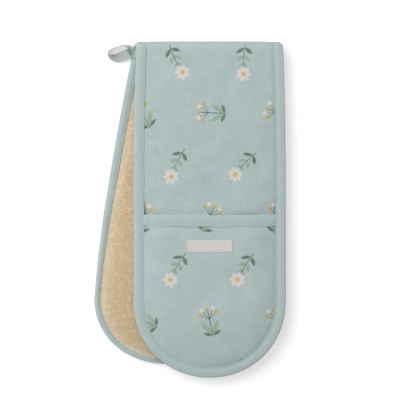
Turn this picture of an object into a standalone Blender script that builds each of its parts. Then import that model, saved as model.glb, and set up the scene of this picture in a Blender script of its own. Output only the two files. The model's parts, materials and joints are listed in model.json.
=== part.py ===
"""Double oven glove, folded in half and lying on its back pocket.

One padded strip carries a hand pocket at each end. It is folded across its middle: the rear half
lies below and is splayed to the left, the front half lies on top. Metres, +Z up, the fold at +Y.

Each half has its own flat coordinates: s runs from the fold's crest towards the mitt tip, t runs
across to the right, and n rises from the plane that the pattern face lies in, through the layers.
"""

import math

import bmesh
import bpy
from mathutils import Matrix, Vector

# The unit that every size below is written in
MM = 0.001

# The strip's outline
FRONT_LENGTH = 430.0 * MM  # fold crest to mitt tip, front half
REAR_SHORTFALL = 12.7 * MM  # by which the rear half is folded short of the front one
HALF_WIDTH = 97.0 * MM  # from the centre line to the bound edge, past the waist
WAIST = 3.6 * MM  # by which it is less at the fold, where the strip is narrowest
TAPER_LENGTH = 188.0 * MM  # over which the strip widens from the fold
FRONT_TIP_LENGTH = 98.6 * MM  # depth of the rounded mitt end
REAR_TIP_LENGTH = 81.9 * MM
TIP_POWER = 2.06  # roundness of the mitt end, 2 being an ellipse
SPLAY = math.radians(9.38)  # turn of the rear half about the vertical
REAR_OFFSET = 1.6 * MM  # how far left the rear half's centre line meets the fold
REAR_BEND = math.radians(8.0)  # by which the rear mitt curves back to the right
REAR_BEND_START = 210.1 * MM  # fold crest to where that curve starts

# The layers, free and where the stitching presses them
GAP = 0.3 * MM  # air between touching layers
PANEL_CLOTH = 0.8 * MM
PANEL_CLOTH_PRESSED = 0.5 * MM
WADDING = 2.4 * MM
WADDING_PRESSED = 0.8 * MM
TOWELLING = 1.7 * MM
TOWELLING_PRESSED = 1.0 * MM
POCKET_WADDING = 1.6 * MM
POCKET_WADDING_PRESSED = 0.6 * MM
LINING = 0.5 * MM
LINING_PRESSED = 0.4 * MM

# The binding round the edge
BINDING_CLOTH = 0.9 * MM
BINDING_FACE = 13.0 * MM  # width on the patterned face
BINDING_BACK = 11.0 * MM  # width on the towelling face
BINDING_ROUNDING = 1.2 * MM

# The hand pocket
MOUTH = 221.6 * MM  # fold crest to the pocket's straight edge
MOUTH_BAND = 15.0 * MM  # depth of the mouth binding
MOUTH_CLOTH = 0.6 * MM
MOUTH_ROUNDING = 0.8 * MM
MOUTH_STEP = 25.0 * MM  # over which the strip lifts onto the pocket's edge
CAVITY_AT_MOUTH = 5.2 * MM  # height of the hand space at the mouth
CAVITY_AT_CREST = 7.3 * MM  # and where the mitt is fullest

# How the padding swells and droops
SWELL_RUN = 45.0 * MM  # from the binding to the full height
SWELL_POWER = 2.2
FOLD_LIFT = 0.1 * MM  # edge above the pattern plane at the fold
REAR_EDGE_LIFT = 1.0 * MM  # the same along the pocket, where the edge rests low
FRONT_EDGE_LIFT = 5.5 * MM
FRONT_TIP_DROOP = 8.0 * MM
DROOP_START_SHARE = 0.6  # of the way from the pocket's mouth to the rounded end
RING_SHARES = (0.24, 0.56)  # of SWELL_RUN: where a layer has its mesh lines

# The fold
FOLD_RADIUS = 12.0 * MM  # to the outer face
NESTING_TILT = math.radians(0.83)  # of the plane that the two halves meet in

# The label on the front pocket
LABEL_LENGTH = 57.5 * MM
LABEL_WIDTH = 15.2 * MM
LABEL_CLOTH = 0.5 * MM
LABEL_FROM_MOUTH = 33.2 * MM

# The hanging loop
TAPE_WIDTH = 12.5 * MM
TAPE_CLOTH = 0.8 * MM
LOOP_REACH = 31.2 * MM  # from the seam to the loop's far end
TAPE_SEAM_DEPTH = 12.0 * MM  # length of the sewn ends, in from the edge
TAPE_SEAM_START = 24.0 * MM  # fold crest to the tape's near side
TAPE_OVERHANG = 1.6 * MM  # how far the sewn ends reach past the edge
TAPE_END_SHARES = (0.0, 0.2, 0.4, 1.0)  # of TAPE_WIDTH: where the sewn ends have a mesh line
# Rows of the loop's middle line: outward share of LOOP_REACH, share of TAPE_WIDTH along the
# edge, height share of TAPE_WIDTH above the seam, and tilt of the tape from flat as a share of
# a right angle
LOOP_ROW_SHARES = (
    (0.0, 0.50, 0.00, 0.00),
    (0.16, 0.66, 0.04, 0.00),
    (0.38, 0.98, 0.04, -0.04),
    (0.60, 1.20, 0.00, -0.16),
    (0.80, 1.26, -0.02, -0.42),
    (0.95, 1.08, 0.00, -0.78),
    (1.0, 0.78, 0.02, -0.92),
    (0.93, 0.48, 0.04, -0.96),
    (0.76, 0.26, 0.06, -0.96),
    (0.54, 0.04, 0.06, -0.94),
    (0.32, -0.12, 0.08, -0.86),
    (0.12, -0.15, 0.16, -0.74),
    (0.0, -0.08, 0.24, -0.66),
)

# Mesh lines along the strip, as shares of the stretch between the fold and the pocket's step
STRIP_ROW_SHARES = (0.0, 0.07, 0.24, 0.44, 0.64, 0.84, 1.0)
POCKET_MIDDLE_SHARE = 0.5
TIP_RAYS = 12
FOLD_STEPS = 9
SKEW_RUN = 100.0 * MM  # over which the rear half's rows turn square to it

# Colours of the finishes
DUCK_EGG = (0.42, 0.51, 0.505)
DUCK_EGG_BINDING = (0.42, 0.515, 0.51)
TOWEL_BEIGE = (0.59, 0.465, 0.295)
WADDING_WHITE = (0.86, 0.85, 0.82)
LINING_WHITE = (0.80, 0.78, 0.73)
LABEL_CREAM = (0.61, 0.59, 0.56)
TAPE_GREEN = (0.40, 0.50, 0.47)

REAR_LENGTH = FRONT_LENGTH - REAR_SHORTFALL
FOLD_HALF_WIDTH = HALF_WIDTH - WAIST
PINCH_STACK = PANEL_CLOTH_PRESSED + WADDING_PRESSED + TOWELLING_PRESSED + 2 * GAP
FULL_STACK = PANEL_CLOTH + WADDING + TOWELLING + 2 * GAP
POCKET_PINCH = PANEL_CLOTH_PRESSED + POCKET_WADDING_PRESSED + LINING_PRESSED + 2 * GAP
POCKET_FULL = PANEL_CLOTH + POCKET_WADDING + LINING + 2 * GAP
MOUTH_COVER = MOUTH_CLOTH + GAP
EDGE_COVER = BINDING_CLOTH + GAP


def mix(low, high, weight):
    """The value between low and high at weight, from 0 to 1."""
    return low + (high - low) * weight


def ease(value):
    """Smooth step from 0 to 1, held outside."""
    value = min(1.0, max(0.0, value))
    return value * value * (3 - 2 * value)


def swell(inward):
    """How far the padding has risen at a distance in from the bound edge, 0 to 1."""
    rings = ring_distances(HALF_WIDTH)
    heights = []
    for ring in rings:
        share = min(1.0, max(0.0, (ring - BINDING_FACE) / SWELL_RUN))
        heights.append(1 - (1 - share) ** SWELL_POWER)
    for k in range(1, len(rings)):
        if inward <= rings[k]:
            share = (inward - rings[k - 1]) / (rings[k] - rings[k - 1])
            return mix(heights[k - 1], heights[k], max(0.0, share))
    return 1.0


def ring_distances(spine):
    """Distances in from the outline of a layer's mesh lines, the last on the centre line."""
    inner = [BINDING_FACE + share * SWELL_RUN for share in RING_SHARES]
    return [EDGE_COVER, BINDING_FACE] + inner + [BINDING_FACE + SWELL_RUN, spine]


class Half:
    """One half of the strip: its outline, its levels and its place in the folded glove."""

    def __init__(self, name, length, tip_length, edge_lift, tip_droop):
        self.name = name
        self.length = length
        self.tip_length = tip_length
        self.edge_lift = edge_lift
        self.tip_droop = tip_droop
        self.tip_start = length - tip_length

    def half_width(self, s):
        """Half of the outline's width between the fold and the mitt end."""
        share = min(1.0, s / TAPER_LENGTH)
        return mix(HALF_WIDTH, FOLD_HALF_WIDTH, (1 - share) ** 2)

    def strip_rows(self):
        """Places along the half where the strip's layers have a mesh line."""
        start = FOLD_RADIUS
        end = MOUTH - MOUTH_STEP
        rows = [mix(start, end, share) for share in STRIP_ROW_SHARES]
        return rows + [MOUTH] + self.pocket_rows()[1:]

    def pocket_rows(self):
        """The same for the pocket's layers, which start inside the mouth binding."""
        band_end = MOUTH + MOUTH_BAND
        settled = band_end + MOUTH_BAND
        middle = mix(settled, self.tip_start, POCKET_MIDDLE_SHARE)
        return [MOUTH + MOUTH_COVER, band_end, settled, middle, self.tip_start]

    def rays(self, rows):
        """The mesh lines from the outline inwards, from the fold's left end round the tip.

        Each is a function from the distance inwards to (s, t), and the line's length.
        """
        found = []
        for row in rows:
            found.append(self.side_ray(row, -1))
        for k in range(1, TIP_RAYS):
            found.append(self.tip_ray(math.pi * k / TIP_RAYS))
        for row in reversed(rows):
            found.append(self.side_ray(row, 1))
        return found

    def side_ray(self, row, side):
        """A line across the strip from one long edge to the centre line."""
        width = self.half_width(row)

        def place(inward):
            return row, side * (width - inward)

        return place, width

    def tip_ray(self, angle):
        """A line from the rounded end to the centre that the end is drawn about."""
        power = 2 / TIP_POWER
        along = self.tip_length * math.sin(angle) ** power
        across = math.copysign(HALF_WIDTH * abs(math.cos(angle)) ** power, -math.cos(angle))

        def place(inward):
            share = 1 - inward / HALF_WIDTH
            return self.tip_start + along * share, across * share

        return place, HALF_WIDTH

    def lift(self, s):
        """Height of the binding's outer face over the pattern plane."""
        raised = mix(FOLD_LIFT, self.edge_lift, ease((s - FOLD_RADIUS) / (MOUTH - FOLD_RADIUS)))
        return raised + self.droop(s)

    def droop(self, s):
        """How far the mitt end hangs towards the table."""
        start = mix(MOUTH, self.tip_start, DROOP_START_SHARE)
        share = max(0.0, (s - start) / (self.length - start))
        return self.tip_droop * share**3

    def strip_base(self, s, rise):
        """Level of the strip's lowest face, at the swell rise."""
        stepped = ease((s - (MOUTH - MOUTH_STEP)) / MOUTH_STEP)
        settled = ease((s - MOUTH - MOUTH_BAND) / MOUTH_BAND)
        edge = self.lift(s) + EDGE_COVER + (POCKET_PINCH + GAP) * stepped
        edge += MOUTH_COVER * (stepped - settled)
        at_mouth = 2 * MOUTH_COVER + POCKET_PINCH + CAVITY_AT_MOUTH
        at_crest = POCKET_FULL + CAVITY_AT_CREST
        lifted = mix(0.0, at_mouth, ease((s - 2 * FOLD_RADIUS) / (MOUTH - MOUTH_STEP - 2 * FOLD_RADIUS)))
        full = mix(lifted, at_crest, ease((s - MOUTH) / (self.tip_start - MOUTH)))
        return mix(edge, full + self.droop(s), rise)

    def pocket_base(self, s, rise):
        """Level of the pocket's lowest face, at the swell rise."""
        settled = ease((s - MOUTH - MOUTH_BAND) / MOUTH_BAND)
        middle = mix(MOUTH_COVER, 0.0, settled) + self.droop(s)
        return mix(self.lift(s) + EDGE_COVER, middle, rise)

    def pocket_fullness(self, s, rise):
        """How far the pocket's layers are from pressed, 0, to free, 1."""
        return rise * ease((s - MOUTH - MOUTH_BAND) / MOUTH_BAND)


class RearHalf(Half):
    """The half that lies on the table, turned about the vertical, its mitt curving back."""

    def point(self, s, t, n):
        """World place of a point of this half."""
        along, across = self.curved(s, t)
        run = max(0.0, 1 - (s - FOLD_RADIUS) / SKEW_RUN)
        square_start = (FOLD_RADIUS - t * math.sin(SPLAY)) / math.cos(SPLAY)
        along += (square_start - FOLD_RADIUS) * run
        x = -REAR_OFFSET - along * math.sin(SPLAY) + across * math.cos(SPLAY)
        y = -along * math.cos(SPLAY) - across * math.sin(SPLAY)
        return Vector((x, y, n))

    def curved(self, s, t):
        """(s, t) with the mitt's centre line laid on an arc that curves to the right."""
        if s <= REAR_BEND_START:
            return s, t
        radius = (self.length - REAR_BEND_START) / REAR_BEND
        angle = (s - REAR_BEND_START) / radius
        along = REAR_BEND_START + (radius - t) * math.sin(angle)
        return along, radius - (radius - t) * math.cos(angle)


class FrontHalf(Half):
    """The half on top, upside down and tilted by twice the tilt of the nesting plane."""

    def point(self, s, t, n):
        """World place of a point of this half."""
        lean = 2 * NESTING_TILT
        run = s - FOLD_RADIUS
        height = FOLD_RADIUS - n
        y = -FOLD_RADIUS + height * math.sin(lean) - run * math.cos(lean)
        z = FOLD_RADIUS + height * math.cos(lean) + run * math.sin(lean)
        return Vector((t, y, z))


REAR = RearHalf("rear", REAR_LENGTH, REAR_TIP_LENGTH, REAR_EDGE_LIFT, 0.0)
FRONT = FrontHalf("front", FRONT_LENGTH, FRONT_TIP_LENGTH, FRONT_EDGE_LIFT, FRONT_TIP_DROOP)


def strip_layer(thickness_below, pressed_below, thickness, pressed):
    """Levels of one of the strip's layers, from what lies below it."""

    def levels(half, s, rise):
        base = half.strip_base(s, rise)
        low = base + mix(pressed_below, thickness_below, rise)
        return low, low + mix(pressed, thickness, rise)

    return levels


def pocket_layer(thickness_below, pressed_below, thickness, pressed):
    """Levels of one of the pocket's layers, from what lies below it."""

    def levels(half, s, rise):
        base = half.pocket_base(s, rise)
        fullness = half.pocket_fullness(s, rise)
        low = base + mix(pressed_below, thickness_below, fullness)
        return low, low + mix(pressed, thickness, fullness)

    return levels


def stack(layers):
    """Name, levels and colour of each layer, laid on each other with the gap between."""
    found = []
    below = 0.0
    pressed_below = 0.0
    for name, kind, thickness, pressed, colour in layers:
        found.append((name, kind(below, pressed_below, thickness, pressed), colour))
        below += thickness + GAP
        pressed_below += pressed + GAP
    return found


STRIP_LAYERS = stack((
    ("outer", strip_layer, PANEL_CLOTH, PANEL_CLOTH_PRESSED, DUCK_EGG),
    ("wadding", strip_layer, WADDING, WADDING_PRESSED, WADDING_WHITE),
    ("towelling", strip_layer, TOWELLING, TOWELLING_PRESSED, TOWEL_BEIGE),
))
POCKET_LAYERS = stack((
    ("pocket_outer", pocket_layer, PANEL_CLOTH, PANEL_CLOTH_PRESSED, DUCK_EGG),
    ("pocket_wadding", pocket_layer, POCKET_WADDING, POCKET_WADDING_PRESSED, WADDING_WHITE),
    ("pocket_lining", pocket_layer, LINING, LINING_PRESSED, LINING_WHITE),
))


def finish(name, colour):
    """A cloth finish."""
    material = bpy.data.materials.new(name)
    material.use_nodes = True
    shader = material.node_tree.nodes["Principled BSDF"]
    shader.inputs["Base Color"].default_value = (*colour, 1.0)
    shader.inputs["Roughness"].default_value = 0.9
    shader.inputs["Metallic"].default_value = 0.0
    material.diffuse_color = (*colour, 1.0)
    return material


def add_object(name, mesh, colour):
    """Puts a built mesh in the scene as a named piece with its own finish."""
    bmesh.ops.recalc_face_normals(mesh, faces=mesh.faces)
    data = bpy.data.meshes.new(name)
    mesh.to_mesh(data)
    mesh.free()
    data.shade_smooth()
    data.set_sharp_from_angle(angle=math.radians(40))
    data.materials.append(finish(name, colour))
    piece = bpy.data.objects.new(name, data)
    bpy.context.scene.collection.objects.link(piece)
    return piece


def skin(mesh, low, high):
    """Closes a sheet of grid points, low and high, into a solid. Points may be shared."""
    rays = len(low)
    depth = len(low[0])
    for r in range(rays - 1):
        for k in range(depth - 1):
            for grid in (low, high):
                add_face(mesh, (grid[r][k], grid[r + 1][k], grid[r + 1][k + 1], grid[r][k + 1]))
        add_face(mesh, (low[r][0], low[r + 1][0], high[r + 1][0], high[r][0]))


def add_face(mesh, corners):
    """A face over the corners, leaving out repeats."""
    kept = []
    for corner in corners:
        if corner not in kept:
            kept.append(corner)
    if len(kept) > 2:
        mesh.faces.new(kept)


def layer(half, name, rows, levels, colour):
    """One cloth or wadding layer of a half."""
    mesh = bmesh.new()
    low = []
    high = []
    spine = {}
    rays = half.rays(rows)
    last = len(rows) - 1
    for index, (place, length) in enumerate(rays):
        left = index <= last
        right = index >= len(rays) - 1 - last
        key = index if left else len(rays) - 1 - index if right else last
        low_line = []
        high_line = []
        distances = ring_distances(length)
        for inward in distances[:-1]:
            s, t = place(inward)
            bottom, top = levels(half, s, swell(inward))
            low_line.append(mesh.verts.new(half.point(s, t, bottom)))
            high_line.append(mesh.verts.new(half.point(s, t, top)))
        if key not in spine:
            s, t = place(length)
            bottom, top = levels(half, s, 1.0)
            spine[key] = (
                mesh.verts.new(half.point(s, t, bottom)),
                mesh.verts.new(half.point(s, t, top)),
            )
        low_line.append(spine[key][0])
        high_line.append(spine[key][1])
        low.append(low_line)
        high.append(high_line)
    skin(mesh, low, high)
    for line in (0, -1):
        for k in range(len(low[0]) - 1):
            add_face(mesh, (low[line][k], low[line][k + 1], high[line][k + 1], high[line][k]))
    return add_object(f"{half.name}_{name}", mesh, colour)


def channel(width_low, width_high, cloth, rounding, low, high):
    """Section of a folded tape as (inward, level) points, clear of what it holds by the gap."""
    return [
        (width_low, low),
        (width_low, low + cloth),
        (cloth, low + cloth),
        (cloth, high - cloth),
        (width_high, high - cloth),
        (width_high, high),
        (rounding, high),
        (0.0, high - rounding),
        (0.0, low + rounding),
        (rounding, low),
    ]


def end_faces(count):
    """The faces that close an end, as corners of its section: a channel's, or a plain strip's."""
    if count > 4:
        return (0, 1, 2, 9), (9, 2, 8), (2, 3, 7, 8), (7, 3, 6), (3, 4, 5, 6)
    return ((0, 1, 2, 3),)


def sweep(mesh, sections):
    """Joins a row of closed sections into a solid with flat ends."""
    rings = [[mesh.verts.new(point) for point in section] for section in sections]
    count = len(rings[0])
    for first, second in zip(rings, rings[1:]):
        for k in range(count):
            after = (k + 1) % count
            mesh.faces.new((first[k], second[k], second[after], first[after]))
    for corners in end_faces(count):
        mesh.faces.new([rings[0][k] for k in corners])
        mesh.faces.new([rings[-1][k] for k in reversed(corners)])


def binding_levels(half, s):
    """Lowest and highest level of the edge binding at a place along the half."""
    low = half.lift(s)
    high = half.strip_base(s, 0.0) + PINCH_STACK + EDGE_COVER
    return low, high


def edge_binding(half):
    """The folded tape round a half's edge, from the fold's left end to its right end."""
    mesh = bmesh.new()
    sections = []
    for place, length in half.rays(half.strip_rows()):
        s_edge = place(0.0)[0]
        low, high = binding_levels(half, s_edge)
        shape = channel(
            BINDING_FACE - GAP, BINDING_BACK, BINDING_CLOTH, BINDING_ROUNDING, low, high
        )
        section = []
        for inward, level in shape:
            s, t = place(inward)
            section.append(half.point(s, t, level + half.droop(s) - half.droop(s_edge)))
        sections.append(section)
    sweep(mesh, sections)
    return add_object(f"{half.name}_binding", mesh, DUCK_EGG_BINDING)


def mouth_binding(half):
    """The folded tape along a pocket's straight edge, between the edge binding's two sides."""
    mesh = bmesh.new()
    sections = []
    width = half.half_width(MOUTH)
    ends = [BINDING_FACE + GAP] + ring_distances(width)[2:]
    across = [distance - width for distance in ends]
    across += [-t for t in reversed(across[:-1])]
    for t in across:
        rise = swell(width - abs(t))
        low = half.pocket_base(MOUTH, rise) - MOUTH_COVER
        high = half.pocket_base(MOUTH, rise) + POCKET_PINCH + MOUTH_COVER
        shape = channel(MOUTH_BAND, MOUTH_BAND, MOUTH_CLOTH, MOUTH_ROUNDING, low, high)
        sections.append([half.point(MOUTH + along, t, level) for along, level in shape])
    sweep(mesh, sections)
    return add_object(f"{half.name}_mouth_binding", mesh, DUCK_EGG_BINDING)


def fold_angles():
    """Angles of the fold's mesh lines, from the rear half's end to the front half's."""
    clear = GAP / (FOLD_RADIUS - FULL_STACK)
    start = -math.pi / 2 + clear
    end = math.pi / 2 - 2 * NESTING_TILT - clear
    return [mix(start, end, k / FOLD_STEPS) for k in range(FOLD_STEPS + 1)]


def fold_point(angle, inward, side, n):
    """World place of a point of the fold, at a distance in from one long edge."""
    t = side * (FRONT.half_width(FOLD_RADIUS) - inward)
    front_x = FRONT.point(FOLD_RADIUS, t, n).x
    rear_x = REAR.point(FOLD_RADIUS, t, n).x
    full_turn = math.pi - 2 * NESTING_TILT
    share = ease((angle + math.pi / 2) / full_turn)
    radius = FOLD_RADIUS - n
    x = mix(rear_x, front_x, share)
    y = -FOLD_RADIUS + radius * math.cos(angle)
    z = FOLD_RADIUS + radius * math.sin(angle)
    return Vector((x, y, z))


def fold_layer(name, levels, colour):
    """The stretch of a layer that goes round the fold."""
    mesh = bmesh.new()
    width = FRONT.half_width(FOLD_RADIUS)
    left = [(distance, -1) for distance in ring_distances(width)]
    right = [(distance, 1) for distance in reversed(ring_distances(width)[:-1])]
    low = []
    high = []
    for angle in fold_angles():
        low_line = []
        high_line = []
        for inward, side in left + right:
            bottom, top = levels(FRONT, FOLD_RADIUS, swell(inward))
            low_line.append(mesh.verts.new(fold_point(angle, inward, side, bottom)))
            high_line.append(mesh.verts.new(fold_point(angle, inward, side, top)))
        low.append(low_line)
        high.append(high_line)
    skin(mesh, low, high)
    for r in range(len(low) - 1):
        add_face(mesh, (low[r][-1], low[r + 1][-1], high[r + 1][-1], high[r][-1]))
    for line in (0, -1):
        for k in range(len(low[0]) - 1):
            add_face(mesh, (low[line][k], low[line][k + 1], high[line][k + 1], high[line][k]))
    return add_object(f"fold_{name}", mesh, colour)


def fold_binding(name, side):
    """The stretch of the edge binding that goes round the fold."""
    mesh = bmesh.new()
    low, high = binding_levels(FRONT, FOLD_RADIUS)
    shape = channel(BINDING_FACE - GAP, BINDING_BACK, BINDING_CLOTH, BINDING_ROUNDING, low, high)
    sections = []
    for angle in fold_angles():
        sections.append([fold_point(angle, inward, side, level) for inward, level in shape])
    sweep(mesh, sections)
    return add_object(f"fold_binding_{name}", mesh, DUCK_EGG_BINDING)


def label():
    """The woven label, lying on the flat of the front pocket."""
    start = MOUTH + LABEL_FROM_MOUTH
    mesh = bmesh.new()
    bmesh.ops.create_cube(mesh, size=1.0)
    for corner in mesh.verts:
        s = start + LABEL_WIDTH * (corner.co.y + 0.5)
        t = LABEL_LENGTH * corner.co.x
        n = -GAP - LABEL_CLOTH * (corner.co.z + 0.5) + FRONT.droop(start)
        corner.co = FRONT.point(s, t, n)
    return add_object("label", mesh, LABEL_CREAM)


def rear_edge_point(outward, along, height):
    """World place of a point beside the rear half's left edge near the fold.

    outward runs away from the edge, along runs from the fold's crest towards the tip.
    """
    t = -FOLD_HALF_WIDTH - outward
    x = -REAR_OFFSET - along * math.sin(SPLAY) + t * math.cos(SPLAY)
    y = -along * math.cos(SPLAY) - t * math.sin(SPLAY)
    return Vector((x, y, height))


def seam_height():
    """Height at which the sewn tape ends lie, on the binding of the rear half."""
    return binding_levels(REAR, FOLD_RADIUS)[1] + GAP


def tunnel_floor(y):
    """Lowest free height between the rear half and the fold's inner face, at a world Y."""
    radius = FOLD_RADIUS - seam_height()
    past_centre = max(0.0, y + FOLD_RADIUS)
    return FOLD_RADIUS - math.sqrt(max(0.0, radius**2 - past_centre**2))


def tape_ends():
    """The loop's two sewn ends, one on the other, on the rear half's binding."""
    mesh = bmesh.new()
    sections = []
    for share in TAPE_END_SHARES:
        along = TAPE_SEAM_START + TAPE_WIDTH * share
        section = []
        for outward in (-TAPE_SEAM_DEPTH, TAPE_OVERHANG):
            low = tunnel_floor(rear_edge_point(outward, along, 0.0).y)
            section += [(outward, low), (outward, low + 2 * TAPE_CLOTH)]
        corners = (section[0], section[1], section[3], section[2])
        sections.append([rear_edge_point(outward, along, level) for outward, level in corners])
    sweep(mesh, sections)
    return add_object("loop_tape_ends", mesh, TAPE_GREEN)


def loop_rows():
    """Middle points and tilts of the loop's tape, from one sewn end to the other."""
    rows = []
    for outward, along, height, tilt in LOOP_ROW_SHARES:
        middle = rear_edge_point(
            TAPE_OVERHANG + GAP + outward * LOOP_REACH,
            TAPE_SEAM_START + along * TAPE_WIDTH,
            seam_height() + TAPE_CLOTH + height * TAPE_WIDTH,
        )
        rows.append((middle, tilt * math.pi / 2))
    return rows


def hanging_loop(hinge):
    """The tape loop, lying flat on its near run and standing on edge on its far run."""
    rows = loop_rows()
    sections = []
    mesh = bmesh.new()
    outward = rear_edge_point(LOOP_REACH, 0.0, 0.0) - rear_edge_point(0.0, 0.0, 0.0)
    for k, (middle, tilt) in enumerate(rows):
        if k in (0, len(rows) - 1):
            heading = outward.normalized() * (1 if k == 0 else -1)
        else:
            heading = (rows[k + 1][0] - rows[k - 1][0]).normalized()
        level = Vector((0, 0, 1)).cross(heading).normalized()
        up = heading.cross(level)
        width = Matrix.Rotation(tilt, 3, heading) @ level
        across = Matrix.Rotation(tilt, 3, heading) @ up
        reach = width * TAPE_WIDTH / 2
        cloth = across * TAPE_CLOTH / 2
        sections.append([
            middle - reach - cloth,
            middle + reach - cloth,
            middle + reach + cloth,
            middle - reach + cloth,
        ])
    sweep(mesh, sections)
    bmesh.ops.translate(mesh, verts=mesh.verts, vec=-hinge)
    return add_object("hanging_loop", mesh, TAPE_GREEN)


def fold_hinges():
    """Places of the two hinge lines that open the fold, seen along X, as (y, z) offsets.

    The fold's middle cloth then ends up in line with both opened halves, at its true length.
    """
    turn = math.pi / 2 - NESTING_TILT
    neutral = FOLD_RADIUS - FULL_STACK / 2
    reach = turn * neutral / 2
    drop = reach / math.tan(turn / 2)
    centre = Vector((0.0, -FOLD_RADIUS, FOLD_RADIUS))
    lower = centre + Vector((0.0, reach, -drop))
    along = Vector((0.0, math.cos(NESTING_TILT), -math.sin(NESTING_TILT)))
    offset = lower - centre
    upper = centre + 2 * offset.dot(along) * along - offset
    return lower, upper


def add_pivot(name, place):
    """An empty on a joint's axis, which carries the pieces that turn about it."""
    pivot = bpy.data.objects.new(name, None)
    pivot.empty_display_size = FOLD_RADIUS
    pivot.location = place
    bpy.context.scene.collection.objects.link(pivot)
    return pivot


def carry(pivot, pieces):
    """Parents the pieces to the pivot and leaves them where they are."""
    for piece in pieces:
        piece.parent = pivot
        piece.matrix_parent_inverse = Matrix.Translation(pivot.location).inverted()


def half_pieces(half):
    """All the cloth of one half."""
    pieces = []
    for name, levels, colour in STRIP_LAYERS:
        pieces.append(layer(half, name, half.strip_rows(), levels, colour))
    for name, levels, colour in POCKET_LAYERS:
        pieces.append(layer(half, name, half.pocket_rows(), levels, colour))
    pieces.append(mouth_binding(half))
    pieces.append(edge_binding(half))
    return pieces


def fold_pieces():
    """All the cloth of the fold."""
    pieces = [fold_layer(name, levels, colour) for name, levels, colour in STRIP_LAYERS]
    pieces.append(fold_binding("left", -1))
    pieces.append(fold_binding("right", 1))
    return pieces


def clear_scene():
    """Removes whatever the scene holds."""
    for existing in list(bpy.data.objects):
        bpy.data.objects.remove(existing, do_unlink=True)


def centre_on_origin(roots):
    """Moves everything so that the box's bottom centre is the origin."""
    bpy.context.view_layer.update()
    corners = []
    for piece in bpy.data.objects:
        if piece.type == "MESH":
            corners += [piece.matrix_world @ vertex.co for vertex in piece.data.vertices]
    low = [min(corner[axis] for corner in corners) for axis in range(3)]
    high = [max(corner[axis] for corner in corners) for axis in range(3)]
    shift = Vector((-(low[0] + high[0]) / 2, -(low[1] + high[1]) / 2, -low[2]))
    for root in roots:
        root.location += shift
    bpy.context.view_layer.update()


def main():
    """Builds the folded glove."""
    clear_scene()
    lower, upper = fold_hinges()
    seam = rear_edge_point(TAPE_OVERHANG, TAPE_SEAM_START, seam_height() + TAPE_CLOTH)
    rear = add_pivot("rear_half_pivot", Vector((0.0, 0.0, 0.0)))
    fold = add_pivot("fold_lower_pivot", lower)
    front = add_pivot("fold_upper_pivot", upper)
    carry(rear, half_pieces(REAR) + [tape_ends()])
    carry(fold, fold_pieces())
    carry(front, half_pieces(FRONT) + [label()])
    loop = hanging_loop(seam)
    loop.location = seam
    centre_on_origin([rear, fold, front, loop])
    for pivot in (fold, front, loop):
        print(pivot.name, "axis passes", [round(value, 6) for value in pivot.location])


main()
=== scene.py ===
"""Looks of a double oven glove, folded in half and lying on its rear pocket.

A padded strip has a hand pocket at each end, towelling on its inner face, bound edges, a bare
woven label and a tape loop. Each half of the strip has its own flat coordinates. The run goes
from the fold's crest towards the mitt tip along the outer cloth, across goes to the right, and
the level rises from the plane of the patterned face through the layers. Metres, +Z up.
"""

import json
import logging
import math
from dataclasses import dataclass
from enum import Enum
from typing import Any, Union

import bpy
import numpy as np
from mathutils import Matrix, Vector


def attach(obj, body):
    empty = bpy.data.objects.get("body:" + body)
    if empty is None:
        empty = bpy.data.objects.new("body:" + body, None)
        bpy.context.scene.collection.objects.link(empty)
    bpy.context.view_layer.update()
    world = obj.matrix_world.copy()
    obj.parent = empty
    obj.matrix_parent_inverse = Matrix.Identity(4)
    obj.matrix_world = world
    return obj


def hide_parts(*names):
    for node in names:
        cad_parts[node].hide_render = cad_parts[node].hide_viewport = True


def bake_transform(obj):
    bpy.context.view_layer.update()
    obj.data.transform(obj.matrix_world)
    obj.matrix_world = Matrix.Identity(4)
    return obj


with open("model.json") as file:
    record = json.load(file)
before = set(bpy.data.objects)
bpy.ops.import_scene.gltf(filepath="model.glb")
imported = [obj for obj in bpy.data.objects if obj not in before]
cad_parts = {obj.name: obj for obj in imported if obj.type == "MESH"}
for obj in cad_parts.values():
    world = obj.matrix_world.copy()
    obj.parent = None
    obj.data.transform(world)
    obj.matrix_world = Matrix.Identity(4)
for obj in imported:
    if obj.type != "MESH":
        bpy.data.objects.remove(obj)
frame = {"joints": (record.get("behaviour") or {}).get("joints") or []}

MM = 0.001
LOG = logging.getLogger("oven glove")
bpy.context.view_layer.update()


# Sizes

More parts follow.
